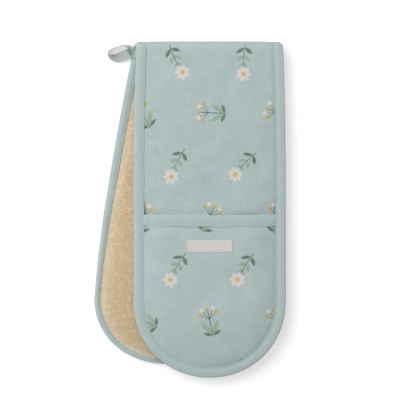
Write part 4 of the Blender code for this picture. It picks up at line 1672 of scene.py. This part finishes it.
@dataclass
class Pocket:
    """The hand pocket on one half: its patterned cloth, wadding, lining and bound mouth.

    The mouth's wave and its fullness are each a wavelength and a height. Its thickening is a start
    and a length in from the bound edge, and its painted highlight a place, a reach and a weight.
    """

    half: Half
    cloth_pitch: float = 2.0 * MM
    wadding_pitch: float = 4.5 * MM
    tape_inset: float = 11.5 * MM
    tape_points: int = 121
    relief_share: float = 0.35
    thickening: tuple = (11.0 * MM, 4.0 * MM)
    rounding: float = 1.5 * MM
    seam: float = 13.2 * MM
    groove: float = 0.22 * MM
    bow: float = 1.1 * MM
    wave: tuple = (34 * MM, 0.35 * MM)
    fullness: tuple = (13 * MM, 0.35)
    highlight_band: tuple = (1.0 * MM, 1.6 * MM, 0.4 * MM)
    thread_inset: float = 13.6 * MM
    thread_points: int = 160
    thread_sink: float = 0.12 * MM
    stitch: Stitch = Stitch(3.0 * MM, 2.3 * MM)

    def levels(self, spread: Layout, layer: Layer) -> Pair:
        """Levels of a layer's two faces.

        Args:
            spread: Places of the layer's mesh points.
            layer: The layer.

        Returns:
            Levels of the lower and the upper face.
        """
        half = self.half
        station = half.station(spread.run)
        rise = swell(spread.inward)
        base = half.resting(half.pocket_base(station, rise) + half.relief(spread))
        fuller = half.resting(base + half.sewn(spread)) - base
        return layer.faces(base, half.pocket_fullness(station, rise), fuller)

    def build(self) -> list[bpy.types.Object]:
        """Makes and dresses the pocket.

        Returns:
            The pocket's pieces.
        """
        z, half = SIZES, self.half
        start = half.run_to(z.mouth + z.mouth_cover + z.mouth_inset)
        spread = layout(half, start, self.cloth_pitch, z.hem)
        outer = layer_piece(half, f"{half.name}_pocket_cloth", spread, *self.levels(spread, OUTER))
        self.place(outer, Finish.PRINTED, "pocket_outer", spread)
        soft = layout(half, start, self.wadding_pitch, z.hem + z.wadding_inset)
        wadding = layer_piece(half, f"{half.name}_pocket_padding", soft, *self.levels(soft, POCKET_WADDING))
        hand_over(wadding, Finish.FLEECE, f"{half.name}_pocket_wadding", body=half.body)
        lining = layer_piece(half, f"{half.name}_pocket_inside", spread, *self.levels(spread, LINING))
        self.place(lining, Finish.LINING, "pocket_lining", spread)
        return [outer, wadding, lining, self.mouth(), *self.mouth_stitches()]

    def place(self, piece: bpy.types.Object, finish: Finish, layer: str, spread: Layout) -> None:
        """Dresses a sheet of the pocket, puts it on its half's body and hides the frame's node that it
        replaces.
        """
        hand_over(piece, finish, f"{self.half.name}_{layer}", body=self.half.body)
        flat_sheet(spread)

    def bowed(self, across: np.ndarray) -> np.ndarray:
        """How far the mouth of the front pocket bows towards the tip."""
        width = float(self.half.half_width(SIZES.mouth))
        return self.bow * np.cos(across / width * math.pi / 2) * (self.half is FRONT)

    def mouth_levels(self, across: np.ndarray, inward: np.ndarray) -> Pair:
        """Lowest and highest level of the mouth binding along the pocket's edge.

        Args:
            across: Distances to the right of the centre line.
            inward: Distances in from the bound edge.

        Returns:
            The two levels.
        """
        half, z = self.half, SIZES
        run = np.full(across.shape, half.run_to(z.mouth + z.mouth_band / 2))
        base = half.pocket_base(np.full(across.shape, z.mouth), swell(inward))
        base = base + self.relief_share * half.relief(Layout(run, across, inward))
        tucked = z.mouth_cover * ramp(inward, *self.thickening)
        low = half.resting(base - tucked)
        return low, low + z.pocket_pinch + 2 * tucked

    def mouth(self) -> bpy.types.Object:
        """The folded tape along the pocket's straight edge, from binding to binding.

        Returns:
            The piece.
        """
        half, z = self.half, SIZES
        width = float(half.half_width(z.mouth))
        across = np.linspace(self.tape_inset - width, width - self.tape_inset, self.tape_points)
        levels = self.mouth_levels(across, width - abs(across))
        widths, seams = (z.mouth_band, z.mouth_band), (self.seam, self.seam)
        profile = folded_profile(FoldedTape(widths, z.mouth_cloth, self.rounding, seams, self.groove))
        wavy = self.wave[1] * Ripples(self.wave[0], 41).at(across, 0 * across)
        crown = 1 + self.fullness[1] * Ripples(self.fullness[0], 42).at(across, 0 * across)
        depth, level = folded_section(profile, levels, (wavy, wavy), crown)
        run = half.run_to(z.mouth) + depth + self.bowed(across)[:, None]
        aside = across[:, None] + 0 * depth
        places = half.point(run, aside, half.resting(level, 0.0))
        # painted highlight: lighter colour along the mouth tape's folded edge
        painted_highlight = self.highlight_band[2] * hump(depth - self.highlight_band[0], self.highlight_band[1])
        cloth = np.stack((profile.travel[None] + 0 * depth, aside, painted_highlight), axis=-1)
        piece = swept_piece(f"{half.name}_mouth_tape", places, cloth)
        hand_over(piece, Finish.BINDING, f"{half.name}_mouth_binding", body=half.body)
        return piece

    def mouth_stitches(self) -> list[bpy.types.Object]:
        """The row of stitches along the mouth binding's lower edge, on both faces.

        Returns:
            The two rows.
        """
        half, z = self.half, SIZES
        width = float(half.half_width(z.mouth))
        across = np.linspace(self.thread_inset - width, width - self.thread_inset, self.thread_points)
        low, high = self.mouth_levels(across, width - abs(across))
        run = half.run_to(z.mouth + self.seam) + self.bowed(across)
        rows = []
        outer = half.resting(low + self.thread_sink, UNEVEN.thread_gap)
        for name, level, side in (("outer", outer, -1.0), ("inner", high - self.thread_sink, 1.0)):
            places = half.point(run, across, level)
            outwards = half.point(run, across, level + side * MM) - places
            row = sewn_line(f"{half.name}_mouth_stitches_{name}", places, outwards, self.stitch)
            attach(row, half.body)
            rows.append(row)
        return rows


@dataclass
class Profile:
    """Section of a tape folded over an edge.

    Each point is a distance in from the edge, the face it belongs to and its depth under that
    face. The face is 0 at the lower one and 1 at the upper one.
    """

    inward: np.ndarray
    face: np.ndarray
    depth: np.ndarray
    bulge: np.ndarray
    travel: np.ndarray


@dataclass(frozen=True)
class FoldedTape:
    """Sizes of a tape that is folded over an edge and sewn through.

    The widths and the seams are distances in from the edge, on the lower and on the upper face.
    The groove is how deep the stitches pull the tape in. The dip lists offsets from a seam in
    millimetres, each with its share of the groove.
    """

    widths: tuple[float, float]
    cloth: float
    rounding: float
    seams: tuple[float, float]
    groove: float
    dip: tuple = ((0.75, 0.35), (0.35, 0.85), (0.0, 1.0), (-0.35, 0.85), (-0.8, 0.35), (-1.4, 0.05))
    bulges: tuple = (0.18, 0.34, 0.5, 0.66, 0.82)
    edge_power: float = 0.75
    inner_inset: float = 0.6 * MM


def folded_profile(tape: FoldedTape) -> Profile:
    """The section of a folded tape, once round its outer and its inner face.

    Args:
        tape: Sizes of the tape.

    Returns:
        The profile.
    """
    cloth, rounding, power = tape.cloth, tape.rounding, tape.edge_power

    def side(face: int) -> list[tuple]:
        """Points of one outer face, from its free edge to the rounding.

        Args:
            face: 0 for the lower face and 1 for the upper one.

        Returns:
            For each point its distance in, its face, its depth and its bulge.
        """
        width, seam = tape.widths[face], tape.seams[face]
        found = [(width, face, cloth * 0.55, 0.0), (width - 0.05 * MM, face, cloth * 0.22, 0.0)]
        found.append((width - 0.35 * MM, face, 0.04 * MM, 0.0))
        for offset, share in tape.dip:
            found.append((seam + offset * MM, face, tape.groove * share, 0.0))
        last = found[-1][0]
        for share in tape.bulges:
            found.append((mix(last, rounding, share), face, 0.0, math.sin(math.pi * share)))
        return found

    def inside(face: int) -> list[tuple]:
        """Points of one inner face, from its free edge to the fold."""
        places = (tape.widths[face], mix(tape.widths[face], rounding, 0.5), rounding + tape.inner_inset)
        return [(place, face, cloth, 0.0) for place in places]

    edge = []
    for angle in np.linspace(-math.pi / 2, math.pi / 2, 11):
        out = abs(math.cos(angle)) ** power
        rise = math.copysign(abs(math.sin(angle)) ** power, angle)
        edge.append((rounding * (1 - out), 0.5 + 0.5 * rise, 0.0, 0.0))
    points = side(0) + edge + side(1)[::-1]
    points += inside(1) + [(cloth, 0.5, 0.0, 0.0)] + inside(0)[::-1]
    inward, face, depth, bulge = (np.array(values) for values in zip(*points))
    rough = np.stack((inward, face * 5 * MM), axis=-1)
    steps = np.linalg.norm(np.diff(rough, axis=0), axis=1)
    return Profile(inward, face, depth, bulge, np.concatenate(([0.0], np.cumsum(steps))))


def sway(inward: Numbers) -> np.ndarray:
    """Share of a tape's waviness at a distance in from its edge, from none near it to all."""
    start, length = UNEVEN.tape_sway
    return np.clip((inward - start) / length, 0.0, 1.0)


def folded_section(profile: Profile, levels: Pair, wavy: Pair, crown: np.ndarray) -> Pair:
    """Places a folded tape's section at every station.

    Args:
        profile: The section.
        levels: Lowest and highest level at each station.
        wavy: Shifts of the free edge on the lower and on the upper face.
        crown: Fullness of the tape between its edge and its stitches.

    Returns:
        Distances in from the edge and levels, as stations by points.
    """
    lower = profile.face[None] < 0.5
    shift = np.where(lower, wavy[0][:, None], wavy[1][:, None])
    level = mix(levels[0][:, None], levels[1][:, None], profile.face[None])
    sunk = profile.depth[None] - UNEVEN.tape_bulge * profile.bulge[None] * crown[:, None]
    return profile.inward[None] + shift * sway(profile.inward)[None], level + np.where(lower, sunk, -sunk)


def swept_piece(name: str, places: np.ndarray, cloth: np.ndarray) -> bpy.types.Object:
    """A closed solid through sections.

    Args:
        name: Name of the piece.
        places: World places, as sections by points.
        cloth: Cloth coordinates of the same points, in metres.

    Returns:
        The piece.
    """
    rows, columns = places.shape[:2]
    piece, row, column = grid_piece(name, rows, columns + 1)
    column = column % columns
    set_places(piece, places[row, column])
    set_cloth(piece, cloth[row, column] / MM)
    face_outwards(piece, doubles=True)
    smooth(piece, 50)
    return piece


@dataclass
class EdgeBinding:
    """The folded tape round one half's edge, and the stitches that hold it.

    Its wave and its fullness are each a wavelength and a height. It is calm before the run that
    calm starts with, and narrows on its upper face from the run that narrowing starts with. Each
    of the two also holds a length. The painted edge highlight is a reach and a weight.
    """

    half: Half
    pitch: float = 3.0 * MM
    fold_steps: int = 12
    tip_steps: int = 96
    rounding: float = 2.6 * MM
    seams: tuple = (11.3 * MM, 9.5 * MM)
    groove: float = 0.34 * MM
    calm: tuple = (4 * MM, 24 * MM)
    wave: tuple = (42 * MM, 0.22 * MM)
    fullness: tuple = (11 * MM, 0.30)
    tip_narrowing: float = 3.9 * MM
    narrowing: tuple = (0.12, 0.22)
    highlight_band: tuple = (2.2 * MM, 0.9 * MM)
    thread_sink: float = 0.14 * MM
    stitch: Stitch = Stitch(3.1 * MM, 2.4 * MM)

    def stations(self) -> Lines:
        """Lines inwards from the outline, from the crest's left end round the tip.

        Returns:
            The start of each line, its step for a metre inwards, and the travel along the edge.
        """
        half, z = self.half, SIZES
        tip_run = half.run_to(half.tip_start)
        fold = np.linspace(0.0, z.quarter, self.fold_steps + 1)[:-1]
        steps = round((tip_run - z.quarter) / self.pitch)
        rows = np.concatenate((fold, np.linspace(z.quarter, tip_run, steps + 1)))
        width = half.half_width(half.station(rows))
        angle = np.linspace(0.0, math.pi, self.tip_steps + 1)[1:-1]
        power = 2 / z.tip_power
        along = half.tip_length * np.sin(angle) ** power
        across = -z.half_width * np.sign(np.cos(angle)) * abs(np.cos(angle)) ** power
        zeros, ones = 0 * rows, 1 + 0 * rows
        found = {
            "run": np.concatenate((rows, tip_run + along, rows[::-1])),
            "across": np.concatenate((-width, across, width[::-1])),
            "step_run": np.concatenate((zeros, -along / z.half_width, zeros)),
            "step_across": np.concatenate((ones, -across / z.half_width, -ones)),
        }
        moves = np.hypot(np.diff(found["run"]), np.diff(found["across"]))
        found["travel"] = np.concatenate(([0.0], np.cumsum(moves)))
        return found

    def placed(self, lines: Lines, inward: np.ndarray, level: np.ndarray, clear: float) -> np.ndarray:
        """World places at distances in from the edge, at levels given at the edge.

        Args:
            lines: The stations.
            inward: Distances in, as stations by points.
            level: Levels.
            clear: Least height over the table.

        Returns:
            The places.
        """
        half = self.half
        run = lines["run"][:, None] + lines["step_run"][:, None] * inward
        across = lines["across"][:, None] + lines["step_across"][:, None] * inward
        drop = half.droop(half.station(run)) - half.droop(half.station(lines["run"]))[:, None]
        level = level + drop + half.tuck(Layout(run, across, inward))
        return half.point(run, across, half.resting(level, clear))

    def levels(self, lines: Lines) -> Pair:
        """Lowest and highest level of the binding at each station.

        Args:
            lines: The stations.

        Returns:
            The two levels.
        """
        station = self.half.station(lines["run"])
        high = self.half.strip_base(station, 0.0) + SIZES.pinch_stack + SIZES.edge_cover
        return self.half.lift(station), high

    def build(self) -> list[bpy.types.Object]:
        """Makes and dresses the binding and its stitches.

        Returns:
            The pieces.
        """
        half, z = self.half, SIZES
        lines = self.stations()
        levels = self.levels(lines)
        calm = ramp(lines["run"], *self.calm)
        seed = 50 if half is REAR else 60
        travel = lines["travel"]
        wavy = self.wave[1] * Ripples(self.wave[0], seed).at(travel, 0 * travel) * calm
        narrow = wavy - self.tip_narrowing * ramp(lines["run"], *self.narrowing)
        crown = 1 + self.fullness[1] * Ripples(self.fullness[0], seed + 1).at(travel, 0 * travel) * calm
        widths = (z.binding_face, z.binding_back)
        tape = FoldedTape(widths, z.binding_cloth, self.rounding, self.seams, self.groove)
        profile = folded_profile(tape)
        inward, level = folded_section(profile, levels, (wavy, narrow), crown)
        # painted highlight: lighter colour along the binding's folded outer edge
        painted_highlight = hump(inward, self.highlight_band[0]) * self.highlight_band[1]
        cloth = np.stack((profile.travel[None] + 0 * inward, travel[:, None] + 0 * inward, painted_highlight), axis=-1)
        piece = swept_piece(f"{half.name}_edge_tape", self.placed(lines, inward, level, 0.0), cloth)
        hand_over(piece, Finish.BINDING, f"{half.name}_binding", "fold_binding_left", "fold_binding_right")
        strip_blend(half, piece)
        made = [piece]
        rows = zip(("outer", "inner"), self.seams, levels, (1.0, -1.0), (wavy, narrow))
        for name, seam, face, side, shift in rows:
            inward = np.full((len(travel), 1), seam) + shift[:, None] * sway(seam)
            level = (face + side * (self.groove - self.thread_sink))[:, None]
            places = self.placed(lines, inward, level, UNEVEN.thread_gap)[:, 0]
            outwards = places - self.placed(lines, inward, level + side * MM, UNEVEN.thread_gap)[:, 0]
            row = sewn_line(f"{half.name}_edge_stitches_{name}", places, outwards, self.stitch)
            strip_blend(half, row)
            made.append(row)
        return made


@dataclass
class Label:
    """The bare woven label on the front pocket, with its ends folded under and sewn down."""

    length: float = 57.5 * MM
    width: float = 15.2 * MM
    thickness: float = 0.5 * MM
    from_mouth: float = 33.2 * MM
    rows: int = 13
    columns: int = 41
    sunk: float = 0.08 * MM
    end_reach: float = 1.2 * MM
    end_fold: float = 0.1 * MM
    side_reach: float = 0.7 * MM
    side_thinning: float = 0.35
    puff: float = 0.18 * MM
    softening: float = 0.12 * MM
    end_seam: float = 2.0 * MM
    thread_inset: float = 0.8 * MM
    thread_points: int = 30
    thread_sink: float = 0.05 * MM
    stitch: Stitch = Stitch(2.2 * MM, 1.7 * MM)

    def surface(self, run: np.ndarray, across: np.ndarray) -> np.ndarray:
        """Level of the pocket's cloth under the label."""
        spread = Layout(run, across, FRONT.half_width(FRONT.station(run)) - abs(across))
        return FRONT.relief(spread) + FRONT.sewn(spread)

    def build(self) -> list[bpy.types.Object]:
        """Makes and dresses the label and its stitches.

        Returns:
            The pieces.
        """
        start = FRONT.run_to(SIZES.mouth + self.from_mouth)
        share_run = np.linspace(0.0, 1.0, self.rows)[:, None]
        share_across = np.linspace(-0.5, 0.5, self.columns)[None, :]
        run = start + self.width * share_run + 0 * share_across
        across = self.length * share_across + 0 * share_run
        ends = hump((0.5 - abs(share_across)) * self.length, self.end_reach)
        sides = hump((0.5 - abs(share_run - 0.5)) * self.width, self.side_reach)
        puff = self.puff * np.sin(math.pi * share_run) * (1 - ends)
        low = self.surface(run, across) - self.sunk
        high = low - self.thickness * (1 - self.side_thinning * sides) - self.end_fold * ends - puff
        piece = layer_piece(FRONT, "label_ribbon", Layout(run, across, 0 * run), high, low)
        bevel = piece.modifiers.new("softened edge", "BEVEL")
        bevel.width = self.softening
        bevel.segments = 2
        bevel.angle_limit = math.radians(60)
        only(piece)
        bpy.ops.object.modifier_apply(modifier=bevel.name)
        hand_over(piece, Finish.RIBBON, "label", body=FRONT.body)
        made = [piece]
        inset, points = self.thread_inset, self.thread_points
        for name, side in (("left", -1.0), ("right", 1.0)):
            line = np.linspace(start + inset, start + self.width - inset, points)
            aside = np.full(points, side * (self.length / 2 - self.end_seam))
            level = self.surface(line, aside) - self.sunk - self.thickness + self.thread_sink
            places = FRONT.point(line, aside, level)
            outwards = FRONT.point(line, aside, level - MM) - places
            row = sewn_line(f"label_stitches_{name}", places, outwards, self.stitch)
            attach(row, FRONT.body)
            made.append(row)
        return made


@dataclass
class HangingLoop:
    """The tape loop at the fold's left end, with its two ends sewn down one on the other.

    Each row of its course has shares of the reach outwards, of the width along the edge and of
    the width in height, and a tilt from flat in right angles. The box lists the stitches'
    corners in millimetres, outwards from the edge and along it.
    """

    width: float = 12.5 * MM
    cloth: float = 0.8 * MM
    reach: float = 31.2 * MM
    seam_start: float = 24.0 * MM
    overhang: float = 1.6 * MM
    bend_reach: float = 3.0 * MM
    straight_steps: int = 6
    thread_sink: float = 0.02 * MM
    stitch: Stitch = Stitch(2.2 * MM, 1.7 * MM)
    box: tuple = ((-4.4, -4.4), (-11.2, -4.4), (-11.2, 4.4), (-4.4, 4.4), (-4.4, -4.4), (-11.2, 4.4))
    rows: tuple = (
        (-0.44, 0.50, -0.032, 0.0), (-0.25, 0.50, -0.032, 0.0), (-0.08, 0.52, -0.03, 0.0),
        (0.05, 0.58, 0.00, 0.00), (0.18, 0.74, 0.03, -0.04), (0.34, 0.99, 0.04, -0.12),
        (0.54, 1.24, 0.02, -0.34), (0.73, 1.28, 0.00, -0.60), (0.88, 1.12, 0.00, -0.84),
        (0.93, 0.90, 0.02, -0.95), (0.89, 0.68, 0.04, -0.98), (0.78, 0.44, 0.06, -0.98),
        (0.62, 0.17, 0.08, -0.96), (0.44, -0.04, 0.14, -0.92), (0.28, -0.12, 0.24, -0.86),
        (0.15, -0.06, 0.36, -0.74), (0.05, 0.14, 0.30, -0.46), (-0.05, 0.36, 0.13, -0.16),
        (-0.15, 0.48, 0.036, 0.0), (-0.28, 0.50, 0.032, 0.0), (-0.44, 0.50, 0.032, 0.0),
    )

    def beside(self, outward: float, along: float, height: float) -> Vector:
        """World place beside the rear half's left edge near the fold.

        Args:
            outward: Distance away from the edge.
            along: Distance from the fold's crest towards the tip.
            height: Height over the table.

        Returns:
            The place.
        """
        z = SIZES
        across = -(z.half_width - z.waist) - outward
        x = -z.rear_offset - along * math.sin(z.splay) + across * math.cos(z.splay)
        y = -along * math.cos(z.splay) - across * math.sin(z.splay)
        return Vector((x, y, height)) + Vector(ORIGIN_SHIFT)

    def seam_height(self) -> float:
        """Height at which the sewn ends lie on the rear half's binding."""
        station = np.array(SIZES.fold_radius)
        return float(REAR.strip_base(station, 0.0)) + SIZES.pinch_stack + SIZES.edge_cover + SIZES.gap

    def floor_at(self, place: Vector) -> float:
        """Lowest free height under the fold.

        Args:
            place: A place in the world, of which only y counts.

        Returns:
            The height.
        """
        centre = SIZES.fold_radius - self.seam_height()
        past = max(0.0, place.y - float(ORIGIN_SHIFT[1]) + SIZES.fold_radius)
        return SIZES.fold_radius - math.sqrt(max(0.0, centre**2 - past**2))

    def section(self) -> np.ndarray:
        """Section of the tape with its firm woven edges.

        Returns:
            Points of width and height.
        """
        half = self.width / 2
        top = [(half, 0.0), (half - 0.12 * MM, 0.36), (half - 0.5 * MM, 0.56), (half - 1.2 * MM, 0.54)]
        top += [(half - 1.9 * MM, 0.44), (half * 0.5, 0.46), (half * 0.22, 0.47), (0.0, 0.42)]
        upper = top + [(-x, y) for x, y in reversed(top[:-1])]
        points = upper + [(x, -y) for x, y in reversed(upper[1:-1])]
        return np.array([(x, y * self.cloth) for x, y in points])

    def spine(self) -> tuple[list[Vector], list[float]]:
        """Middle points and tilts of the loop, close together on one smooth curve.

        Returns:
            The points and the tilts from flat.
        """
        rough = []
        for outward, along, height, tilt in self.rows:
            place = self.beside(
                self.overhang + SIZES.gap + outward * self.reach,
                self.seam_start + along * self.width,
                self.seam_height() + self.cloth + height * self.width,
            )
            rough.append(np.array((*place, tilt * math.pi / 2)))
        rough = [2 * rough[0] - rough[1], *rough, 2 * rough[-1] - rough[-2]]
        fine = []
        for k in range(1, len(rough) - 2):
            a, b, c, d = rough[k - 1:k + 3]
            for share in np.linspace(0.0, 1.0, 9)[:-1]:
                fine.append(0.5 * (
                    2 * b + (c - a) * share + (2 * a - 5 * b + 4 * c - d) * share**2
                    + (3 * b - a - 3 * c + d) * share**3
                ))
        fine.append(rough[-2])
        return [Vector(row[:3]) for row in fine], [float(row[3]) for row in fine]

    def loop(self) -> bpy.types.Object:
        """The tape, flat on its near run, on edge on its far run and flat again where it is sewn.

        Returns:
            The piece.
        """
        middles, tilts = self.spine()
        section = self.section()
        root = self.beside(self.overhang, 0.0, 0.0)
        outward = (self.beside(self.reach, 0.0, 0.0) - root).normalized()
        places, cloth, travel = [], [], 0.0
        last = len(middles) - 1
        for k, (middle, tilt) in enumerate(zip(middles, tilts)):
            heading = (middles[min(k + 1, last)] - middles[max(k - 1, 0)]).normalized()
            settle = min(1.0, min(k, last - k) / self.straight_steps)
            heading = (outward * (1 if k < last / 2 else -1)).lerp(heading, settle).normalized()
            level = Vector((0, 0, 1)).cross(heading).normalized()
            up = heading.cross(level)
            turn = Matrix.Rotation(tilt, 3, heading)
            width, across = turn @ level, turn @ up
            travel += (middle - middles[k - 1]).length if k else 0.0
            sewn = float(ease((root - middle).dot(outward) / self.bend_reach + 0.5))
            points = [middle + width * x + across * y for x, y in section]
            for point in points:
                point.z += sewn * (self.floor_at(point) - self.seam_height())
            places.append([tuple(point) for point in points])
            cloth.append([(x, travel, 0.0) for x, y in section])
        piece = swept_piece("loop_tape", np.array(places), np.array(cloth))
        hand_over(piece, Finish.TAPE, "hanging_loop", "loop_tape_ends")
        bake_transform(piece)
        return piece

    def stitches(self) -> bpy.types.Object:
        """The crossed box of stitches that holds the loop's two ends.

        Returns:
            The piece.
        """
        line = []
        for (o1, a1), (o2, a2) in zip(self.box, self.box[1:]):
            for part in np.linspace(0.0, 1.0, 12)[:-1]:
                along = self.seam_start + self.width / 2 + mix(a1, a2, part) * MM
                place = self.beside(mix(o1, o2, part) * MM, along, 0.0)
                place.z = self.floor_at(place) + 2 * self.cloth - self.thread_sink
                line.append(tuple(place))
        upwards = np.tile((0.0, 0.0, 1.0), (len(line), 1))
        row = sewn_line("tape_end_stitches", np.array(line), upwards, self.stitch)
        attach(row, REAR.body)
        return row

    def build(self) -> list[bpy.types.Object]:
        """Makes and dresses the loop and the stitches of its ends."""
        return [self.loop(), self.stitches()]


@dataclass
class Studio:
    """The pale floor, the soft light and the camera straight above."""

    frame_width: float = 536.2 * MM
    centre: tuple = (25.74 * MM, -0.79 * MM)
    focus_height: float = 20.0 * MM
    lens: float = 200.0
    sensor: float = 36.0
    key_place: tuple = (-1.45, 1.35, 2.6)
    key_size: float = 2.6
    key_power: float = 90.0
    fill: float = 0.42
    floor_colour: float = 0.64
    floor_glow: float = 0.52

    def camera(self) -> None:
        """The camera, which looks straight down."""
        data = bpy.data.cameras.new("camera")
        data.lens = self.lens
        data.sensor_width = self.sensor
        data.clip_end = 20.0
        eye = bpy.data.objects.new("camera", data)
        eye.location = (*self.centre, self.focus_height + self.frame_width * self.lens / self.sensor)
        bpy.context.scene.collection.objects.link(eye)
        bpy.context.scene.camera = eye

    def lamp(self, name: str, place: tuple, size: float, power: float) -> None:
        """A square soft lamp that faces the glove.

        Args:
            name: Name of the lamp.
            place: Where it hangs, in metres.
            size: Length of its side.
            power: Its power in watts.
        """
        data = bpy.data.lights.new(name, "AREA")
        data.shape = "SQUARE"
        data.size = size
        data.energy = power
        lamp = bpy.data.objects.new(name, data)
        lamp.location = place
        aim = Vector((*self.centre, 0.0)) - Vector(place)
        lamp.rotation_euler = aim.to_track_quat("-Z", "Y").to_euler()
        bpy.context.scene.collection.objects.link(lamp)

    def world(self) -> None:
        """An even white surround, at full white only for camera and transmission rays."""
        bpy.context.scene.world = bpy.data.worlds.new("surround")
        graph = Graph(bpy.context.scene.world)
        inputs = {"Value": graph.rays("Camera", "Transmission"), "To Min": self.fill, "To Max": 1.0}
        strength = graph.node("ShaderNodeMapRange", None, inputs).outputs[0]
        inputs = {"Color": (1.0, 1.0, 1.0), "Strength": strength}
        background = graph.node("ShaderNodeBackground", None, inputs)
        graph.node("ShaderNodeOutputWorld", None, {0: background.outputs[0]})

    def floor(self) -> None:
        """The floor, white to the camera where no shadow falls."""
        bpy.ops.object.select_all(action="DESELECT")
        bpy.ops.mesh.primitive_plane_add(size=8.0, location=(0.0, 0.0, 0.0))
        plane = bpy.context.active_object
        plane.name = "floor"
        graph = Graph(bpy.data.materials.new("white floor"))
        paper = graph.node("ShaderNodeBsdfDiffuse", None, {"Color": (self.floor_colour,) * 3})
        seen = graph.rays("Camera", "Glossy", "Transmission")
        inputs = {"Color": (1.0, 1.0, 1.0), "Strength": seen * self.floor_glow}
        glow = graph.node("ShaderNodeEmission", None, inputs)
        both = graph.node("ShaderNodeAddShader", None, {0: paper.outputs[0], 1: glow.outputs[0]})
        graph.node("ShaderNodeOutputMaterial", None, {0: both.outputs[0]})
        plane.data.materials.append(graph.owner)

    def build(self) -> None:
        """Sets up everything round the glove."""
        self.camera()
        self.lamp("key", self.key_place, self.key_size, self.key_power)
        self.world()
        self.floor()
        bpy.context.scene.view_settings.view_transform = "Standard"


def build_glove() -> None:
    """Settles the patterned cloths, builds every sub-assembly of the glove and reports its pieces."""
    for half, seed in ((REAR, 71), (FRONT, 72)):
        half.puckers = Settling().settle(half, seed)
        LOG.info("%s cloth settled, %.2f mm rms", half.name, half.puckers.heights.std() / MM)
    for part in (
        Quilt(REAR), Pocket(REAR), EdgeBinding(REAR),
        Quilt(FRONT), Pocket(FRONT), EdgeBinding(FRONT),
        Label(), HangingLoop(),
    ):
        for piece in part.build():
            LOG.info("%s: %d faces", piece.name, len(piece.data.polygons))


def main() -> None:
    """Builds the glove and its studio."""
    logging.basicConfig(level=logging.INFO, format="%(name)s: %(message)s")
    Studio().build()
    build_glove()


if __name__ == "__main__":
    main()
